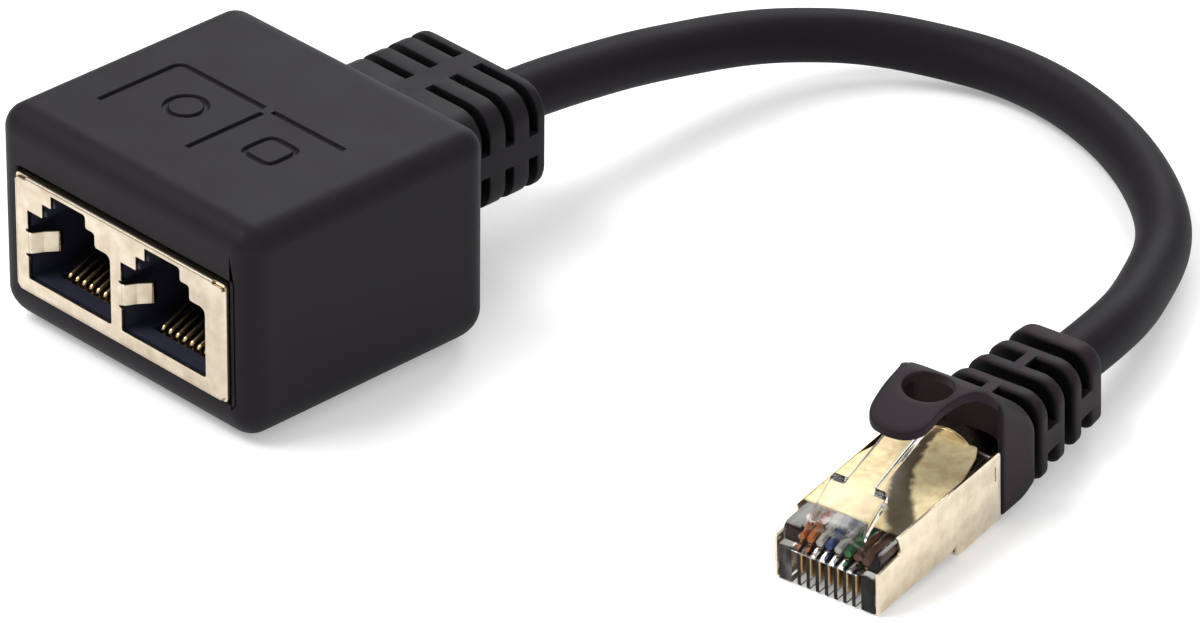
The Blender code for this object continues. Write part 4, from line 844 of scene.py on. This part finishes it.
pair_colours = {"orange": (0.60, 0.17, 0.04), "green": (0.03, 0.20, 0.06), "blue": (0.05, 0.09, 0.28),
                "brown": (0.13, 0.045, 0.02)}
white = (0.62, 0.60, 0.56)
wires_across = [("orange", True), ("orange", False), ("green", True), ("blue", False),
                ("blue", True), ("green", False), ("brown", True), ("brown", False)]
for number, (pair, striped) in enumerate(wires_across, 1):
    colour = pair_colours[pair]
    if striped:
        finish = wire_insulation(f"white_{pair}_wire", white, colour)
    else:
        finish = wire_insulation(f"{pair}_wire", colour)
    refinish(finish, f"plug_wire_{number}", f"board_wire_{number}")

# Jack insert and board
# Behind the can: the black moulded insert with its two rooms and combs, and the green board that
# ties the sockets' contacts in pairs to the eight wires of the lead.
insert_black = new_finish("insert_black", (0.019, 0.021, 0.040), 0.5, Specular_IOR_Level=0.4)
moulded_grain(insert_black, 0.0003, 0.015, mottle=0.3)
refinish(insert_black, "jack_body", "contact_comb_left", "contact_comb_right")
solder_mask = new_finish("solder_mask", (0.015, 0.10, 0.04), 0.35)
moulded_grain(solder_mask, 0.0005, 0.01, mottle=0.35, roughness=(0.25, 0.45))
refinish(solder_mask, "circuit_board")

# Boot
# A slip-on moulding in the same black PVC. Its hood closes over the plug's rear, a tongue with a
# finger hole reaches forward over the latch so that it can't snag, and the slotted neck bends
# with the lead. Hood and neck are one skin carried along the plug's v axis.
boot_black = new_finish("boot_black", (0.019, 0.013, 0.0165), 0.5, Specular_IOR_Level=0.1)
moulded_grain(boot_black, 0.00022, 0.012)
boot_half, neck_v, bore_v = 5.9, 25.9, 26.0
rib_pitch, rib_groove, hood_corner, hood_low, hood_front = 3.15, 1.6, 2.6, -0.93, 20.4


def crest(v):
    """Height of the boot's top line over v: rises along the tongue, rolls over and falls to the neck."""
    return np.interp(v, [10.0, 12.0, 15.0, 17.5, 18.8, 19.6, 20.4, 21.2, 22.4, 23.6, 24.8, 25.9],
                     [12.95, 13.2, 13.5, 13.7, 13.72, 13.5, 12.9, 12.2, 11.1, 10.05, 9.0, 8.0])


def hood_bottom(v):
    """Height of the hood's underside: flat in front, lifted by 0.9 mm in a quarter wave at the rear."""
    t = min(max((v - 23.2) / 2.7, 0.0), 1.0)
    return hood_low + 0.9 * (1 - math.cos(t * math.pi / 2))


def hood_row(v, grow):
    """Row of the hood: as wide as the plug's shield, its top on the crest line, its corners round."""
    return plug_row(v, boot_half + grow, hood_bottom(v) - grow, float(crest(v)) + grow, hood_corner + grow,
                    0.6 + grow)


def hood_room_row(v, top, wall):
    """Row of the hood's inside, which takes the rear of the plug."""
    return plug_row(v, boot_half - wall, hood_low + 1.1, top, 1.2, 0.4)


def neck_row(v, grow, cut=0.0):
    """Row of the neck, which tapers from the hood to the collar; cut goes in to a sleeve on the lead."""
    t = (v - neck_v) / (boot_end_v - neck_v)
    half, top, bottom = 5.5 - 0.8 * t + grow, 7.9 - 0.6 * t + grow, -1.45 + 0.2 * t - grow
    outer = plug_row(v, half, bottom, top, 2.4 + grow, 1.1 + grow)[1]
    inner = plug_row(v, 3.3, cable_axis(v) - 3.2, cable_axis(v) + 3.1, 2.4, 2.4)[1]
    return v, outer + (inner - outer) * (cut * np.ones(len(outer)))[:, None]


slot_shapes = [np.concatenate([wide_cut, full_cut, np.ones(len(tall_cut)), full_cut] * 2),
               np.concatenate([np.ones(len(wide_cut)), full_cut, tall_cut, full_cut] * 2)]
rows = [hood_room_row(v, top, wall) for v, top, wall in
        ((24.3, 7.0, 1.15), (21.6, 7.05, 1.15), (21.42, 7.15, 1.15), (21.4, 7.35, 1.15), (21.38, 10.6, 0.95),
         (21.3, 10.9, 0.9), (20.6, 11.6, 0.75), (20.45, 11.8, 0.65), (hood_front, 11.95, 0.5))]
rows += [hood_row(v, grow) for v, grow in
         ((hood_front, -0.3), (20.43, -0.12), (20.52, -0.03), (20.65, 0.0), *[(v, 0.0) for v in
          np.linspace(21.0, 25.4, 10)], (25.62, -0.04), (25.8, -0.14), (25.88, -0.3))]
slot_lip = [(0.4, 0.0), (0.22, 0.03), (0.08, 0.12), (0.0, 0.3), (-0.04, 0.95)]
grooved = {}
for i in range(4):
    start = neck_v - 0.05 + rib_pitch * i
    if i == 0:
        lips = [(0.0, -0.35, 0.95), (0.04, 0, 1)]
    else:
        lips = [*[(-away, 0, share) for away, share in slot_lip], (0.1, 0, 1)]
    lips += [(rib_groove - 0.07, 0, 1), *[(rib_groove + away, 0, share) for away, share in slot_lip[::-1]]]
    for shift, grow, share in lips:
        grooved[len(rows)] = share * slot_shapes[i % 2]
        rows.append(neck_row(start + shift, grow, grooved[len(rows)]))
rows += [neck_row(boot_end_v - 0.6 * depth, -0.6 * grow) for _, depth, grow in lip_grow]
bore = [(boot_end_v, 3.3), (boot_end_v, 3.05), (boot_end_v - 0.1, 2.9), (boot_end_v - 0.5, 2.84),
        (bore_v, 2.84)]
rows += [(v, round_row(plug_middle, cable_axis(v), radius)) for v, radius in bore]
boot_mesh = grid_mesh(from_plug(as_grid(rows)), loop=True)
# Painted shade darkens the neck's slots.
paint_groove_shade(boot_mesh, boot_black, len(rows), grooved)
boot = add_piece("boot_hood_and_neck", boot_mesh, boot_black, stands_for=["plug_boot"])

# The tongue is a flat ring about its hole: a rounded section between hole and rim, carried round.
hole_u, hole_v, hole_radius, tongue_thickness, tongue_edge = 5.7, 16.95, (2.5, 2.2), 1.0, 0.18
rim_v = np.array([9.95, 10.05, 10.3, 10.7, 11.2, 11.8, 12.6, 13.6, 14.8, 16.0, 17.2, 18.2, 18.9, 19.5, 20.1,
                  20.8, 21.6])
rim_right = np.array([0.0, 1.1, 1.85, 2.4, 2.8, 3.05, 3.1, 3.0, 2.95, 3.15, 3.45, 3.95, 4.5, 5.05, 5.4, 5.5,
                      5.5])
rim_left = np.array([0.0, 1.1, 1.85, 2.4, 2.8, 3.1, 3.4, 3.6, 3.85, 4.0, 4.1, 4.25, 4.5, 4.9, 5.3, 5.5, 5.5])
rim = np.concatenate([np.stack([plug_middle + rim_right, rim_v], axis=1),
                      np.stack([plug_middle - rim_left, rim_v], axis=1)[:0:-1]])
run = np.concatenate([[0.0], np.cumsum(np.linalg.norm(np.diff(rim, axis=0), axis=1))])
rim = np.stack([np.interp(np.linspace(0, run[-1], 97), run, rim[:, k]) for k in range(2)], axis=1)
for _ in range(2):
    rim[1:-1] = 0.25 * rim[:-2] + 0.5 * rim[1:-1] + 0.25 * rim[2:]
outward = rim - (hole_u, hole_v)
angle = np.arctan2(outward[:, 1], outward[:, 0])
hole = np.array([hole_u, hole_v]) + hole_radius * np.stack([np.cos(angle), np.sin(angle)], axis=1)
edge_turn = [(tongue_edge * math.cos(t), tongue_edge * math.sin(t)) for t in np.linspace(0, np.pi / 2, 4)]
floor_w = -tongue_thickness
section = [(1, c - tongue_edge, s - tongue_edge) for c, s in edge_turn]
section += [(1, -0.9, 0), (0.5, 0, 0), (0, 0.9, 0)]
section += [(0, tongue_edge - s, c - tongue_edge) for c, s in edge_turn]
section += [(0, tongue_edge - c, floor_w + tongue_edge - s) for c, s in edge_turn]
section += [(0, 0.9, floor_w), (0.5, 0, floor_w), (1, -0.9, floor_w)]
section += [(1, s - tongue_edge, floor_w + tongue_edge - c) for c, s in edge_turn]
share, inset, drop = np.array(section).T
reach = np.linalg.norm(rim - hole, axis=1)
inset = np.clip(inset[None, :], -0.45 * reach[:, None], 0.45 * reach[:, None])
along = share[None, :] + inset / reach[:, None]
flat = hole[:, None, :] + (rim - hole)[:, None, :] * along[:, :, None]
side_fall = np.clip(np.abs(flat[:, :, 0] - plug_middle) - (boot_half - hood_corner), 0, hood_corner - 0.05)
blend = np.clip((flat[:, :, 1] - 16.5) / 2.5, 0, 1)
blend = blend * blend * (3 - 2 * blend)
fall = hood_corner - np.sqrt(hood_corner ** 2 - side_fall ** 2)
height = crest(flat[:, :, 1]) + drop[None, :] - blend * fall - 0.02
grid = np.concatenate([flat, height[:, :, None]], axis=2)[:-1]
tongue = add_piece("boot_tongue", grid_mesh(from_plug(grid), loop=True), boot_black)

# Studio
# A plain pale sweep that renders white to the camera and keeps the soft shadows, three soft boxes
# and an even sky.
floor_z = -0.0002
floor_mesh = bpy.data.meshes.new("floor")
floor_mesh.from_pydata([(x, y, floor_z) for x, y in ((-3, -3), (3, -3), (3, 3), (-3, 3))], [], [(0, 1, 2, 3)])
paper = bpy.data.materials.new("paper")
paper.use_nodes = True
paper.node_tree.nodes.clear()
rays = add_node(paper, "LightPath").outputs
seen = math_step(paper, "MAXIMUM", rays["Is Camera Ray"], rays["Is Glossy Ray"])
seen = math_step(paper, "MAXIMUM", seen, rays["Is Transmission Ray"])
diffuse = add_node(paper, "BsdfDiffuse", Color=(0.86, 0.86, 0.86, 1.0))
glow = add_node(paper, "Emission", Color=(1.0, 1.0, 1.0, 1.0),
                Strength=math_step(paper, "MULTIPLY", seen, 0.28))
both = add_node(paper, "AddShader", diffuse.outputs[0], glow.outputs[0])
add_node(paper, "OutputMaterial", Surface=both.outputs[0])
floor_mesh.materials.append(paper)
floor = bpy.data.objects.new("floor", floor_mesh)
bpy.context.scene.collection.objects.link(floor)

world = bpy.data.worlds.new("studio")
bpy.context.scene.world = world
world.use_nodes = True
feed(world.node_tree.nodes["Background"], Color=(1.0, 1.0, 1.0, 1.0), Strength=0.55)


def soft_box(name, place, size, power):
    """A square area lamp at a place in metres, turned so that its -Z looks at the object."""
    lamp = bpy.data.lights.new(name, "AREA")
    lamp.shape, lamp.size, lamp.energy = "SQUARE", size, power
    made = bpy.data.objects.new(name, lamp)
    look = (Vector((0.03, 0.0, 0.0)) - Vector(place)).to_track_quat("-Z", "Y")
    made.matrix_world = Matrix.Translation(place) @ look.to_matrix().to_4x4()
    bpy.context.scene.collection.objects.link(made)


soft_box("key", (-0.45, -0.65, 1.15), 0.7, 13.0)
soft_box("side", (1.15, -0.1, 0.75), 0.8, 3.0)
soft_box("rim", (-0.55, 0.95, 0.80), 0.7, 9.0)

bpy.context.scene.view_settings.view_transform = "Standard"
